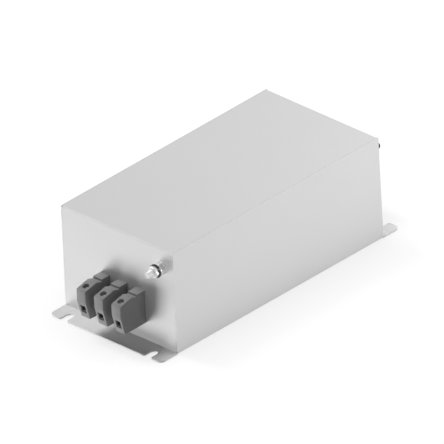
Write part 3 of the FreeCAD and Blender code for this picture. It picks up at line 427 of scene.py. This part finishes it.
def end_tree(graph, geometry, material):
    """Every tree ends in real faces that carry their finish."""
    real = graph.add("GeometryNodeRealizeInstances", None, geometry)["Geometry"]
    dressed = graph.add("GeometryNodeSetMaterial", Geometry=real, Material=material)["Geometry"]
    graph.add("NodeGroupOutput", Geometry=dressed)
    return graph.tree


def new_piece(name, mesh):
    """A finished mesh as an object at the origin, smooth but for its sharp edges."""
    mesh.name = name
    mesh.polygons.foreach_set("use_smooth", [True] * len(mesh.polygons))
    mesh.set_sharp_from_angle(angle=SHARP_EDGE)
    piece = bpy.data.objects.new(name, mesh)
    bpy.context.scene.collection.objects.link(piece)
    return piece


def settle(name, blank):
    """Turns a blank with its modifier into a plain piece, and removes the blank."""
    shaped = blank.evaluated_get(bpy.context.evaluated_depsgraph_get())
    mesh = bpy.data.meshes.new_from_object(shaped)
    bpy.data.objects.remove(blank)
    return new_piece(name, mesh)


def grow(name, tree, places, **sizes):
    """Runs a tree at its places, in millimetres, and makes a plain piece of the result."""
    seed = bpy.data.meshes.new(f"{name}_places")
    seed.from_pydata([Vector(place) * MILLIMETRE for place in places], [], [])
    blank = bpy.data.objects.new(f"{name}_blank", seed)
    bpy.context.scene.collection.objects.link(blank)
    growth = blank.modifiers.new("growth", "NODES")
    growth.node_group = tree
    for socket in tree.interface.items_tree:
        label = socket.name.replace(" ", "_")
        if socket.in_out == "INPUT" and label in sizes:
            growth[socket.identifier] = sizes[label]
    return settle(name, blank)


def stand_in(piece, slot, *nodes):
    """Lets a finished piece ride with the case in place of its CAD nodes."""
    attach(piece, "root")
    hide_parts(*nodes)


def make_fastener_tree():
    """Screw or stud, head down at each place: head, cone, plain shank, neck, rolled thread."""
    graph, sizes = new_tree(
        "fastener", Material="Material", Turn="Vector", Head_radius="Float", Head_edge="Float",
        Head_height="Float", Hexagonal="Float", Cone_height="Float", Shank_radius="Float",
        Plain_length="Float", Neck_radius="Float", Neck_length="Float", Thread_length="Float",
        Pitch="Float", Thread_depth="Float", Slot_width="Float", Slot_depth="Float",
        Slot_length="Float", Cross_length="Float")
    steps = graph.maths("CEIL", sizes["Thread length"] / sizes["Pitch"] * RINGS_A_PITCH)
    rings = steps + HEAD_RINGS
    blank = graph.add("GeometryNodeMeshCylinder", {"fill_type": "NGON"}, Vertices=SIDES,
                      Side_Segments=rings, Radius=1.0, Depth=rings)["Mesh"]
    spot = graph.split(graph.add("GeometryNodeInputPosition")["Position"])
    ring = graph.maths("ROUND", spot["Z"] + rings / 2)
    turn = graph.maths("ARCTAN2", spot["Y"], spot["X"]) / math.tau

    # The head's six flats, then the radius and the height of the rings from the head to the neck.
    flat = graph.maths("FRACT", turn * 6)
    corner = math.cos(math.pi / 6) / graph.maths("COSINE", (flat - 0.5) * (math.pi / 3))
    head = sizes["Head radius"] * (1 + sizes["Hexagonal"] * (corner - 1))
    shank = sizes["Shank radius"]
    neck = sizes["Neck radius"]
    under = graph.maths("MAXIMUM", sizes["Head edge"], sizes["Head height"])
    seat = under + sizes["Cone height"]
    plain = seat + sizes["Plain length"]
    slope = graph.maths("MINIMUM", shank - neck, sizes["Neck length"])
    neck_end = plain + sizes["Neck length"]
    radii = [head - sizes["Head edge"], head, head, shank, shank, neck, neck]
    heights = [0.0, sizes["Head edge"], under, seat, plain, plain + slope, neck_end]

    # The thread's rings past the neck: a wave that winds upward, starts softly and tapers at the tip.
    past = ring - HEAD_RINGS
    rise = sizes["Thread length"] / steps
    height = neck_end + past * rise
    wave = graph.maths("ABSOLUTE", graph.maths("FRACT", height / sizes["Pitch"] - turn) * 2 - 1)
    running_out = graph.maths("MINIMUM", past / RINGS_A_PITCH, 1.0)
    crest = shank - sizes["Thread depth"] * wave * running_out
    tip = shank - sizes["Thread depth"] * TIP_TAPER + (rings - ring) * rise
    threaded = graph.maths("GREATER_THAN", past, -0.5)
    by_ring = {"data_type": "FLOAT", "ways": HEAD_RINGS}
    pick = {"input_type": "FLOAT"}
    radius = graph.add("GeometryNodeSwitch", pick, threaded,
                       graph.add("GeometryNodeIndexSwitch", by_ring, ring, *radii)["Output"],
                       graph.maths("MINIMUM", crest, tip))["Output"]
    level = graph.add("GeometryNodeSwitch", pick, threaded,
                      graph.add("GeometryNodeIndexSwitch", by_ring, ring, *heights)["Output"],
                      height)["Output"]
    moved = graph.join(spot["X"] * radius, spot["Y"] * radius, level)
    turned = graph.add("GeometryNodeSetPosition", Geometry=blank, Position=moved)["Geometry"]
    turned = graph.add("GeometryNodeMergeByDistance", Geometry=turned, Distance=WELD)["Geometry"]

    # The recess: one slot, or two that cross, cut down into the head.
    deep = sizes["Slot depth"] * 2
    boxes = (graph.join(sizes["Slot length"], sizes["Slot width"], deep),
             graph.join(sizes["Slot width"], sizes["Cross length"], deep))
    cutters = [graph.add("GeometryNodeMeshCube", Size=box)["Mesh"] for box in boxes]
    cut = graph.add("GeometryNodeMeshBoolean", {"operation": "DIFFERENCE", "solver": "EXACT"},
                    Mesh_1=turned, Mesh_2=cutters)["Mesh"]
    slotted = graph.maths("GREATER_THAN", sizes["Slot width"], 0.0)
    made = graph.add("GeometryNodeSwitch", {"input_type": "GEOMETRY"}, slotted, turned, cut)["Output"]
    rows = graph.add("GeometryNodeInstanceOnPoints", Points=sizes["Geometry"], Instance=made,
                     Rotation=sizes["Turn"], Scale=(MILLIMETRE, MILLIMETRE, MILLIMETRE))["Instances"]
    return end_tree(graph, rows, sizes["Material"])


fastener_tree = make_fastener_tree()
zinc = make_plated_finish("zinc_plate", tone=0.66, roughness=0.4, metallic=0.6)
foot_screw_y = wall_face - FOOT_SCREW_INSET
cover_screws = grow(
    "countersunk_screws", fastener_tree,
    [(x, y, 0.0) for x in (-FOOT_SCREW_X, FOOT_SCREW_X) for y in (-foot_screw_y, foot_screw_y)],
    Material=zinc, Head_radius=2.25, Head_edge=0.1, Cone_height=0.7, Shank_radius=1.45,
    Neck_radius=1.45, Thread_length=4.2, Pitch=0.5, Thread_depth=0.26,
    Slot_width=0.7, Slot_depth=0.9, Slot_length=2.5, Cross_length=2.5)
stand_in(cover_screws, "zinc_steel", "cover_screws")

# Film, board and standoffs. A punched polyester film lies on the tray. Hexagonal brass standoffs
# are clinched through the tray and carry the glass-fibre board, which round-head screws hold down.
STANDOFF_X = 42.0
STANDOFF_Y = 62.0
MASK_SHADES = ((0.012, 0.09, 0.03, 1.0), (0.02, 0.16, 0.055, 1.0))
MASK_ROUGHNESS = 0.28
SAWN_COLOUR = (0.42, 0.45, 0.22, 1.0)
SAWN_ROUGHER = 0.5
UPRIGHT_FACE = 0.5
WEAVE_PITCH = 0.9
WEAVE_SHARE = 0.4
BAND_TURNS = math.tau / 20
MOULDING_SHADES = (0.93, 1.07)
MOULDING_ROUGHNESS_SPREAD = 0.15
ENDS = {"line": -1, "load": 1}
POLES = (1, 2, 3)


def make_moulded_finish(name, tone, roughness, hue=(1.0, 1.0, 1.0), grains=2200.0, relief_depth=0.03,
                        relief_strength=0.25, specular=0.5):
    """Moulded or dipped plastic: faint flow marks in its colour and an even eroded grain."""
    material, graph = new_finish(name)
    place = graph.add("ShaderNodeTexCoord")["Object"]
    flow = graph.noise(place, scale=90.0, detail=3.0, roughness=0.55)
    grain = graph.noise(place, grains)
    dark, light = (tint(tone * shade, hue) for shade in MOULDING_SHADES)
    plastic = graph.add("ShaderNodeBsdfPrincipled", Base_Color=graph.blend_colours(flow, dark, light),
                        Roughness=graph.sway(roughness, grain, MOULDING_ROUGHNESS_SPREAD),
                        Normal=graph.bump(grain, relief_strength, relief_depth),
                        Specular_IOR_Level=specular)["BSDF"]
    graph.add("ShaderNodeOutputMaterial", Surface=plastic)
    return material


def make_board_finish():
    """Green solder mask over a plain weave that shows faintly, with sawn laminate at the edges.

    A wave texture makes 20 radians of wave for each unit of its scale, as BAND_TURNS allows for."""
    material, graph = new_finish("board_laminate")
    coordinates = graph.add("ShaderNodeTexCoord")
    place = coordinates["Object"]
    weave_scale = BAND_TURNS / (WEAVE_PITCH * MILLIMETRE)
    warp, weft = (graph.add("ShaderNodeTexWave", {"wave_type": "BANDS", "bands_direction": way},
                            Vector=place, Scale=weave_scale)["Fac"] for way in ("X", "Y"))
    weave = warp * (1 - weft) + weft * (1 - warp)
    cloud = graph.noise(place, scale=60.0, detail=3.0)
    mask = graph.blend_colours(weave * WEAVE_SHARE + cloud * (1 - WEAVE_SHARE), *MASK_SHADES)
    upward = graph.maths("ABSOLUTE", graph.split(coordinates["Normal"])["Z"])
    sawn = graph.maths("LESS_THAN", upward, UPRIGHT_FACE)
    colour = graph.blend_colours(sawn, mask, SAWN_COLOUR)
    board = graph.add("ShaderNodeBsdfPrincipled", Base_Color=colour,
                      Roughness=MASK_ROUGHNESS + sawn * SAWN_ROUGHER,
                      Normal=graph.bump(weave, strength=0.15, depth=0.03))["BSDF"]
    graph.add("ShaderNodeOutputMaterial", Surface=board)
    return material


dress(make_moulded_finish("insulating_film", tone=0.72, roughness=0.5, hue=(1.0, 0.97, 0.88), grains=900.0),
      "insulating_sheet")
dress(make_plated_finish("turned_brass", tone=0.72, roughness=0.3, metallic=1.0, hue=(1.0, 0.76, 0.36)),
      "board_standoffs")
dress(make_board_finish(), "circuit_board")
board_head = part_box("board_screws")[1][2] / MILLIMETRE
board_screws = grow(
    "round_head_screws", fastener_tree,
    [(x, y, board_head) for x in (-STANDOFF_X, STANDOFF_X) for y in (-STANDOFF_Y, 0.0, STANDOFF_Y)],
    Material=zinc, Turn=(math.pi, 0.0, 0.0), Head_radius=2.75, Head_edge=0.7, Head_height=2.0,
    Shank_radius=1.25, Neck_radius=1.25, Thread_length=6.0, Pitch=0.45, Thread_depth=0.24,
    Slot_width=0.75, Slot_depth=1.1, Slot_length=3.2, Cross_length=3.2)
stand_in(board_screws, "zinc_steel", "board_screws")

# Chokes. Two toroids of coated ferrite stand on black moulded holders with a three-spoke divider.
# Each phase is one enamelled wire of eight turns in its own third, wound by hand round the core.
WIRE_RADIUS = 1.1
WIRE_BEND = 2.4
COIL_TURNS = 8
COIL_STEP = math.radians(12.0)
COIL_GAP = 0.4
COIL_CORNERS = 4
FIRST_COIL_DEGREES = 150
COIL_SPACING_DEGREES = 120
CORE_RADIAL = 13.0
TAIL_LEVEL = 5.6
ENAMEL_SHADES = ((0.30, 0.085, 0.025, 1.0), (0.52, 0.17, 0.06, 1.0))


def make_enamel_finish():
    """Copper under a clear varnish, streaked a little along the draw of the wire."""
    material, graph = new_finish("enamelled_wire")
    place = graph.add("ShaderNodeTexCoord")["Object"]
    streak = graph.noise(place, scale=700.0, detail=3.0, roughness=0.6)
    wire = graph.add("ShaderNodeBsdfPrincipled", Base_Color=graph.blend_colours(streak, *ENAMEL_SHADES),
                     Metallic=0.75, Roughness=0.25 + streak * 0.12, Coat_Weight=0.6,
                     Coat_Roughness=0.08)["BSDF"]
    graph.add("ShaderNodeOutputMaterial", Surface=wire)
    return material


def make_winding_tree():
    """One wire round the core: up the bore, over, down the outside and on to the next turn."""
    graph, sizes = new_tree(
        "winding", Material="Material", First_angle="Float", Step_angle="Float", Turns="Int",
        Inner_radius="Float", Outer_radius="Float", Low="Float", High="Float", Tail="Float",
        Wire_radius="Float", Bend="Float")
    last = sizes["Turns"] * COIL_CORNERS + 2
    line = graph.add("GeometryNodeCurvePrimitiveLine")["Curve"]
    run = graph.add("GeometryNodeResampleCurve", {"mode": "COUNT"}, Curve=line, Count=last + 1)["Curve"]
    corner = graph.add("GeometryNodeInputIndex")["Index"]
    turn = graph.maths("FLOOR", (corner - 1) / COIL_CORNERS)
    side = corner - 1 - turn * COIL_CORNERS
    by_side = {"data_type": "FLOAT", "ways": COIL_CORNERS}
    inner, outer, low, high = sizes["Inner radius"], sizes["Outer radius"], sizes["Low"], sizes["High"]
    radius = graph.add("GeometryNodeIndexSwitch", by_side, side, outer, inner, inner, outer)["Output"]
    level = graph.add("GeometryNodeIndexSwitch", by_side, side, low, low, high, high)["Output"]

    # The first and the last corner are the tails' ends, straight below their neighbours.
    is_tail = graph.maths("MAXIMUM", graph.maths("LESS_THAN", corner, 0.5),
                          graph.maths("GREATER_THAN", corner, last - 0.5))
    pick = {"input_type": "FLOAT"}
    radius = graph.add("GeometryNodeSwitch", pick, is_tail, radius, outer)["Output"]
    level = graph.add("GeometryNodeSwitch", pick, is_tail, level, sizes["Tail"])["Output"]
    turn = graph.maths("MINIMUM", graph.maths("MAXIMUM", turn, 0.0), sizes["Turns"])
    angle = sizes["First angle"] + turn * sizes["Step angle"]
    place = graph.join(radius * graph.maths("COSINE", angle), radius * graph.maths("SINE", angle), level)
    path = graph.add("GeometryNodeSetPosition", Geometry=run, Position=place)["Geometry"]
    bent = graph.add("GeometryNodeFilletCurve", {"mode": "POLY"}, Curve=path, Count=4, Radius=sizes["Bend"],
                     Limit_Radius=True)["Curve"]
    section = graph.add("GeometryNodeCurvePrimitiveCircle", Resolution=12,
                        Radius=sizes["Wire radius"])["Curve"]
    wire = graph.add("GeometryNodeCurveToMesh", Curve=bent, Profile_Curve=section, Fill_Caps=True)["Mesh"]
    rows = graph.add("GeometryNodeInstanceOnPoints", Points=sizes["Geometry"], Instance=wire,
                     Scale=(MILLIMETRE, MILLIMETRE, MILLIMETRE))["Instances"]
    return end_tree(graph, rows, sizes["Material"])


core_coating = make_moulded_finish("core_coating", tone=0.10, roughness=0.42, hue=(0.55, 1.0, 0.75),
                                   grains=500.0, relief_depth=0.15, relief_strength=0.4)
holder_black = make_moulded_finish("holder_black", tone=0.03, roughness=0.5)
enamel = make_enamel_finish()
winding_tree = make_winding_tree()
for end in ENDS:
    dress(core_coating, f"{end}_choke_core")
    dress(holder_black, f"{end}_choke_holder")
    core_low, core_high = (Vector(corner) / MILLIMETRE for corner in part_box(f"{end}_choke_core"))
    core_radius = (core_high.x - core_low.x) / 2
    wire_seat = COIL_GAP + WIRE_RADIUS
    for pole in POLES:
        middle = math.radians(FIRST_COIL_DEGREES + COIL_SPACING_DEGREES * (pole - 1))
        winding = grow(
            f"{end}_coil_{pole}", winding_tree, [(0.0, (core_low.y + core_high.y) / 2, 0.0)],
            Material=enamel, First_angle=middle - COIL_STEP * COIL_TURNS / 2, Step_angle=COIL_STEP,
            Turns=COIL_TURNS, Inner_radius=core_radius - CORE_RADIAL - wire_seat,
            Outer_radius=core_radius + wire_seat, Low=core_low.z - wire_seat, High=core_high.z + wire_seat,
            Tail=TAIL_LEVEL, Wire_radius=WIRE_RADIUS, Bend=WIRE_BEND)
        stand_in(winding, "enamelled_copper", f"{end}_winding_{pole}")

# Capacitors and resistors. Boxed film capacitors stand in a row at each end, a disc capacitor and
# the discharge resistors beside the chokes. All stand on tinned leads soldered through the board.
FILM_YELLOW = (0.72, 0.52, 0.08)
DISC_BLUE = (0.05, 0.2, 0.5)
DISC_LOW = 0.0106
BAND_FIRST = -0.0178
BAND_SPAN = 0.0076
BAND_START = 0.1
BAND_WIDTH = 0.1
BAND_STEP = 0.22
BANDS = ((0.62, 0.22, 0.02, 1.0), (0.10, 0.03, 0.01, 1.0), (0.75, 0.45, 0.02, 1.0), (0.55, 0.38, 0.12, 1.0))
LACQUER = (0.36, 0.50, 0.55, 1.0)
RESISTOR_BARREL = (-0.0185, -0.0095)
BODY_SHADES = (0.92, 1.08)
TINNED_LEAD = (0.62, 0.62, 0.60, 1.0)
TINNED_METALLIC = 0.8


def make_leaded_finish(name, roughness, on_body, paint):
    """A painted body on tinned leads. The test on_body tells which of the two a point is on."""
    material, graph = new_finish(name)
    place = graph.add("ShaderNodeTexCoord")["Object"]
    parts = graph.split(place)
    share = on_body(graph, parts)
    mottle = graph.noise(place, scale=420.0, detail=3.0)
    colour = graph.blend_colours(share, TINNED_LEAD, paint(graph, parts, mottle))
    finish = graph.add("ShaderNodeBsdfPrincipled", Base_Color=colour, Metallic=(1 - share) * TINNED_METALLIC,
                       Roughness=graph.sway(roughness, mottle, spread=0.1),
                       Normal=graph.bump(mottle, strength=0.3, depth=0.05))["BSDF"]
    graph.add("ShaderNodeOutputMaterial", Surface=finish)
    return material


def above(level):
    """The test for a body that begins at this level."""
    return lambda graph, parts: graph.maths("GREATER_THAN", parts["Z"], level)


def on_barrel(graph, parts):
    """The test for the resistors' barrels, between their bent leads."""
    past_low = graph.maths("GREATER_THAN", parts["Y"], RESISTOR_BARREL[0])
    return past_low * graph.maths("LESS_THAN", parts["Y"], RESISTOR_BARREL[1])


def mottled(hue):
    """One colour, a little uneven."""
    shades = [tint(shade, hue) for shade in BODY_SHADES]
    return lambda graph, parts, mottle: graph.blend_colours(mottle, *shades)


def banded_lacquer(graph, parts, mottle):
    """Four colour bands round the barrel, on pale lacquer."""
    stops = [(0.0, LACQUER)]
    for number, colour in enumerate(BANDS):
        start = BAND_START + BAND_STEP * number
        stops += [(start, colour), (start + BAND_WIDTH, LACQUER)]
    share = (parts["Y"] - BAND_FIRST) / BAND_SPAN
    return graph.add("ShaderNodeValToRGB", {"stops": stops}, Fac=share)["Color"]


board_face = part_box("circuit_board")[1][2]
film_case = make_leaded_finish("film_capacitor_yellow", roughness=0.38, on_body=above(board_face),
                               paint=mottled(FILM_YELLOW))
disc_coat = make_leaded_finish("disc_capacitor_blue", roughness=0.3, on_body=above(DISC_LOW),
                               paint=mottled(DISC_BLUE))
resistor_coat = make_leaded_finish("resistor_lacquer", roughness=0.3, on_body=on_barrel,
                                   paint=banded_lacquer)
dress(film_case, *[f"{end}_x_capacitor_{pole}" for end in ENDS for pole in POLES])
dress(disc_coat, *[f"{end}_y_capacitor" for end in ENDS])
dress(resistor_coat, *[f"discharge_resistor_{pole}" for pole in POLES])

# Terminal housings. Dark grey moulded plastic, pushed through the end wall from outside and held by
# barbs, with softly rounded edges, a wire entry in the front and a way down to the clamp screw.
HOUSING_TONE = 0.22
HOUSING_ROUGHNESS = 0.62
HOUSING_GLOSS = 0.35
HOUSING_EDGE = 0.22
SAME_FACE = math.radians(0.5)
ROUNDED_EDGE = math.radians(35)


def edged_copy(node, name, edge, steps=2):
    """The node's form again, welded, with its flat faces joined and its sharp edges rounded."""
    form = bmesh.new()
    form.from_mesh(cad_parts[node].data)
    bmesh.ops.remove_doubles(form, verts=form.verts, dist=WELD * MILLIMETRE)
    bmesh.ops.dissolve_limit(form, angle_limit=SAME_FACE, verts=form.verts, edges=form.edges)
    rough_mesh = bpy.data.meshes.new(name)
    form.to_mesh(rough_mesh)
    form.free()
    blank = bpy.data.objects.new(f"{name}_blank", rough_mesh)
    bpy.context.scene.collection.objects.link(blank)
    bevel = blank.modifiers.new("edge", "BEVEL")
    bevel.width = edge * MILLIMETRE
    bevel.segments = steps
    bevel.limit_method = "ANGLE"
    bevel.angle_limit = ROUNDED_EDGE
    return settle(name, blank)


def finished(piece, material):
    """The piece in its finish."""
    piece.data.materials.clear()
    piece.data.materials.append(material)
    return piece


housing_plastic = make_moulded_finish("housing_plastic", HOUSING_TONE, HOUSING_ROUGHNESS,
                                      specular=HOUSING_GLOSS)
for end in ENDS:
    for pole in POLES:
        housing = edged_copy(f"{end}_block_{pole}", f"{end}_housing_{pole}", HOUSING_EDGE)
        stand_in(finished(housing, housing_plastic), "terminal_moulding", f"{end}_block_{pole}")

# Clamps, bars and clamp screws. A plated steel cage hangs in each housing round a tinned copper bar,
# which runs through the wall down to the board. A slotted cheese-head screw draws the cage up.
CLAMP_SCREW_REACH = 19.5
CLAMP_SCREW_HEAD = 2.0
POLE_FIRST = -12.8
POLE_PITCH = 16.4

# Painted shade: the cages' zinc is painted near black, so the wire entries stay as dark as the shade inside
# them.
cage_painted_shade = make_plated_finish("dull_cage_zinc", tone=0.12, roughness=0.65, metallic=0.3)
dress(cage_painted_shade, *[f"{end}_clamp_{pole}" for end in ENDS for pole in POLES])
tinned = make_plated_finish("tinned_copper", tone=0.34, roughness=0.6, metallic=0.4)
dress(tinned, *[f"{end}_busbar_{pole}" for end in ENDS for pole in POLES])
clamp_screw_low, clamp_screw_top = (corner[2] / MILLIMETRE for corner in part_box("line_clamp_screws"))
clamp_screws = grow(
    "cheese_head_screws", fastener_tree,
    [(POLE_FIRST + POLE_PITCH * (pole - 1), side * (wall_face + CLAMP_SCREW_REACH), clamp_screw_top)
     for side in ENDS.values() for pole in POLES],
    Material=zinc, Turn=(math.pi, 0.0, 0.0), Head_radius=2.2, Head_edge=0.2, Head_height=CLAMP_SCREW_HEAD,
    Shank_radius=1.7, Neck_radius=1.7, Thread_length=clamp_screw_top - clamp_screw_low - CLAMP_SCREW_HEAD,
    Pitch=0.6, Thread_depth=0.3, Slot_width=0.9, Slot_depth=1.0, Slot_length=6.6, Cross_length=0.9)
stand_in(clamp_screws, "zinc_steel", "line_clamp_screws", "load_clamp_screws")

# Earth studs. An M5 stud goes out through each end wall, its hexagonal head inside, held by a flat
# washer and a nut. The line stud also carries a second washer, a blackened spring washer and a thin
# nut. The load stud's end, which shows past the rear edge, is black.
NUT_EDGE = 0.12
STUD_X = 41.7
STUD_Z = 64.6
STUD_HEAD = 3.5
STUD_HEAD_BACK = 5.3
STUD_FLATS = 8.0
STUD_CORE = 2.1
WASHER_THICK = 1.0
STUD_TURNS = {"line": (math.pi / 2, 0.0, 0.0), "load": (-math.pi / 2, 0.0, 0.0)}
STUD_NECKS = {"line": 9.1, "load": 4.2}
STUD_SLOTS = {"line": "zinc_steel", "load": "black_spring_steel"}

bright_nut = make_plated_finish("bright_nut_zinc", tone=0.68, roughness=0.45, metallic=0.5)
blackened = make_plated_finish("blackened_spring_steel", tone=0.03, roughness=0.45, metallic=0.6)
stud_finishes = {"line": zinc, "load": blackened}
studs = {}
for end, side in ENDS.items():
    low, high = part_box(f"{end}_earth_stud")
    reach = max(-low[1], high[1]) / MILLIMETRE - wall_face
    studs[end] = grow(
        f"{end}_stud", fastener_tree, [(STUD_X, side * (wall_face - STUD_HEAD_BACK), STUD_Z)],
        Material=stud_finishes[end], Turn=STUD_TURNS[end], Head_radius=STUD_FLATS / math.sqrt(3),
        Head_edge=0.3, Head_height=STUD_HEAD, Hexagonal=1.0, Shank_radius=2.5,
        Plain_length=STUD_HEAD_BACK - STUD_HEAD + WASHER_THICK, Neck_radius=STUD_CORE,
        Neck_length=STUD_NECKS[end], Thread_length=reach - WASHER_THICK - STUD_NECKS[end],
        Pitch=0.8, Thread_depth=0.4)
    stand_in(studs[end], STUD_SLOTS[end], f"{end}_earth_stud")
flat_washers = finished(edged_copy("earth_washers", "flat_washers", NUT_EDGE, steps=1), zinc)
stand_in(flat_washers, "zinc_steel", "earth_washers")
base_nuts = finished(edged_copy("earth_base_nuts", "base_nuts", NUT_EDGE, steps=1), zinc)
stand_in(base_nuts, "zinc_steel", "earth_base_nuts")
outer_nut = finished(edged_copy("line_outer_nut", "outer_nut", NUT_EDGE, steps=1), bright_nut)
stand_in(outer_nut, "bright_nut", "line_outer_nut")
dress(blackened, "line_lock_washer")
let_light_past(under_lamp, outer_nut, flat_washers, base_nuts, studs["line"],
               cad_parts["line_lock_washer"])

# Earth lugs and leads. A tinned ring lug sits under each stud's head, and a stranded copper lead in
# green insulation with a yellow stripe runs from its barrel down to the board.
STRIPE_OFF_MIDDLE = 0.35
LEAD_GREEN = (0.03, 0.26, 0.05, 1.0)
LEAD_YELLOW = (0.75, 0.62, 0.04, 1.0)


def make_lead_finish():
    """Green insulation, yellow on the side that is past the stripe's edge."""
    material, graph = new_finish("earth_lead_insulation")
    place = graph.add("ShaderNodeTexCoord")["Object"]
    across = graph.split(place)["X"]
    stripe = graph.maths("GREATER_THAN", across, (STUD_X + STRIPE_OFF_MIDDLE) * MILLIMETRE)
    colour = graph.blend_colours(stripe, LEAD_GREEN, LEAD_YELLOW)
    cloud = graph.noise(place, scale=300.0, detail=3.0)
    skin = graph.add("ShaderNodeBsdfPrincipled", Base_Color=colour, Roughness=0.38 + cloud * 0.15)["BSDF"]
    graph.add("ShaderNodeOutputMaterial", Surface=skin)
    return material


dress(tinned, *[f"{end}_earth_lug" for end in ENDS])
dress(make_lead_finish(), *[f"{end}_earth_lead" for end in ENDS])
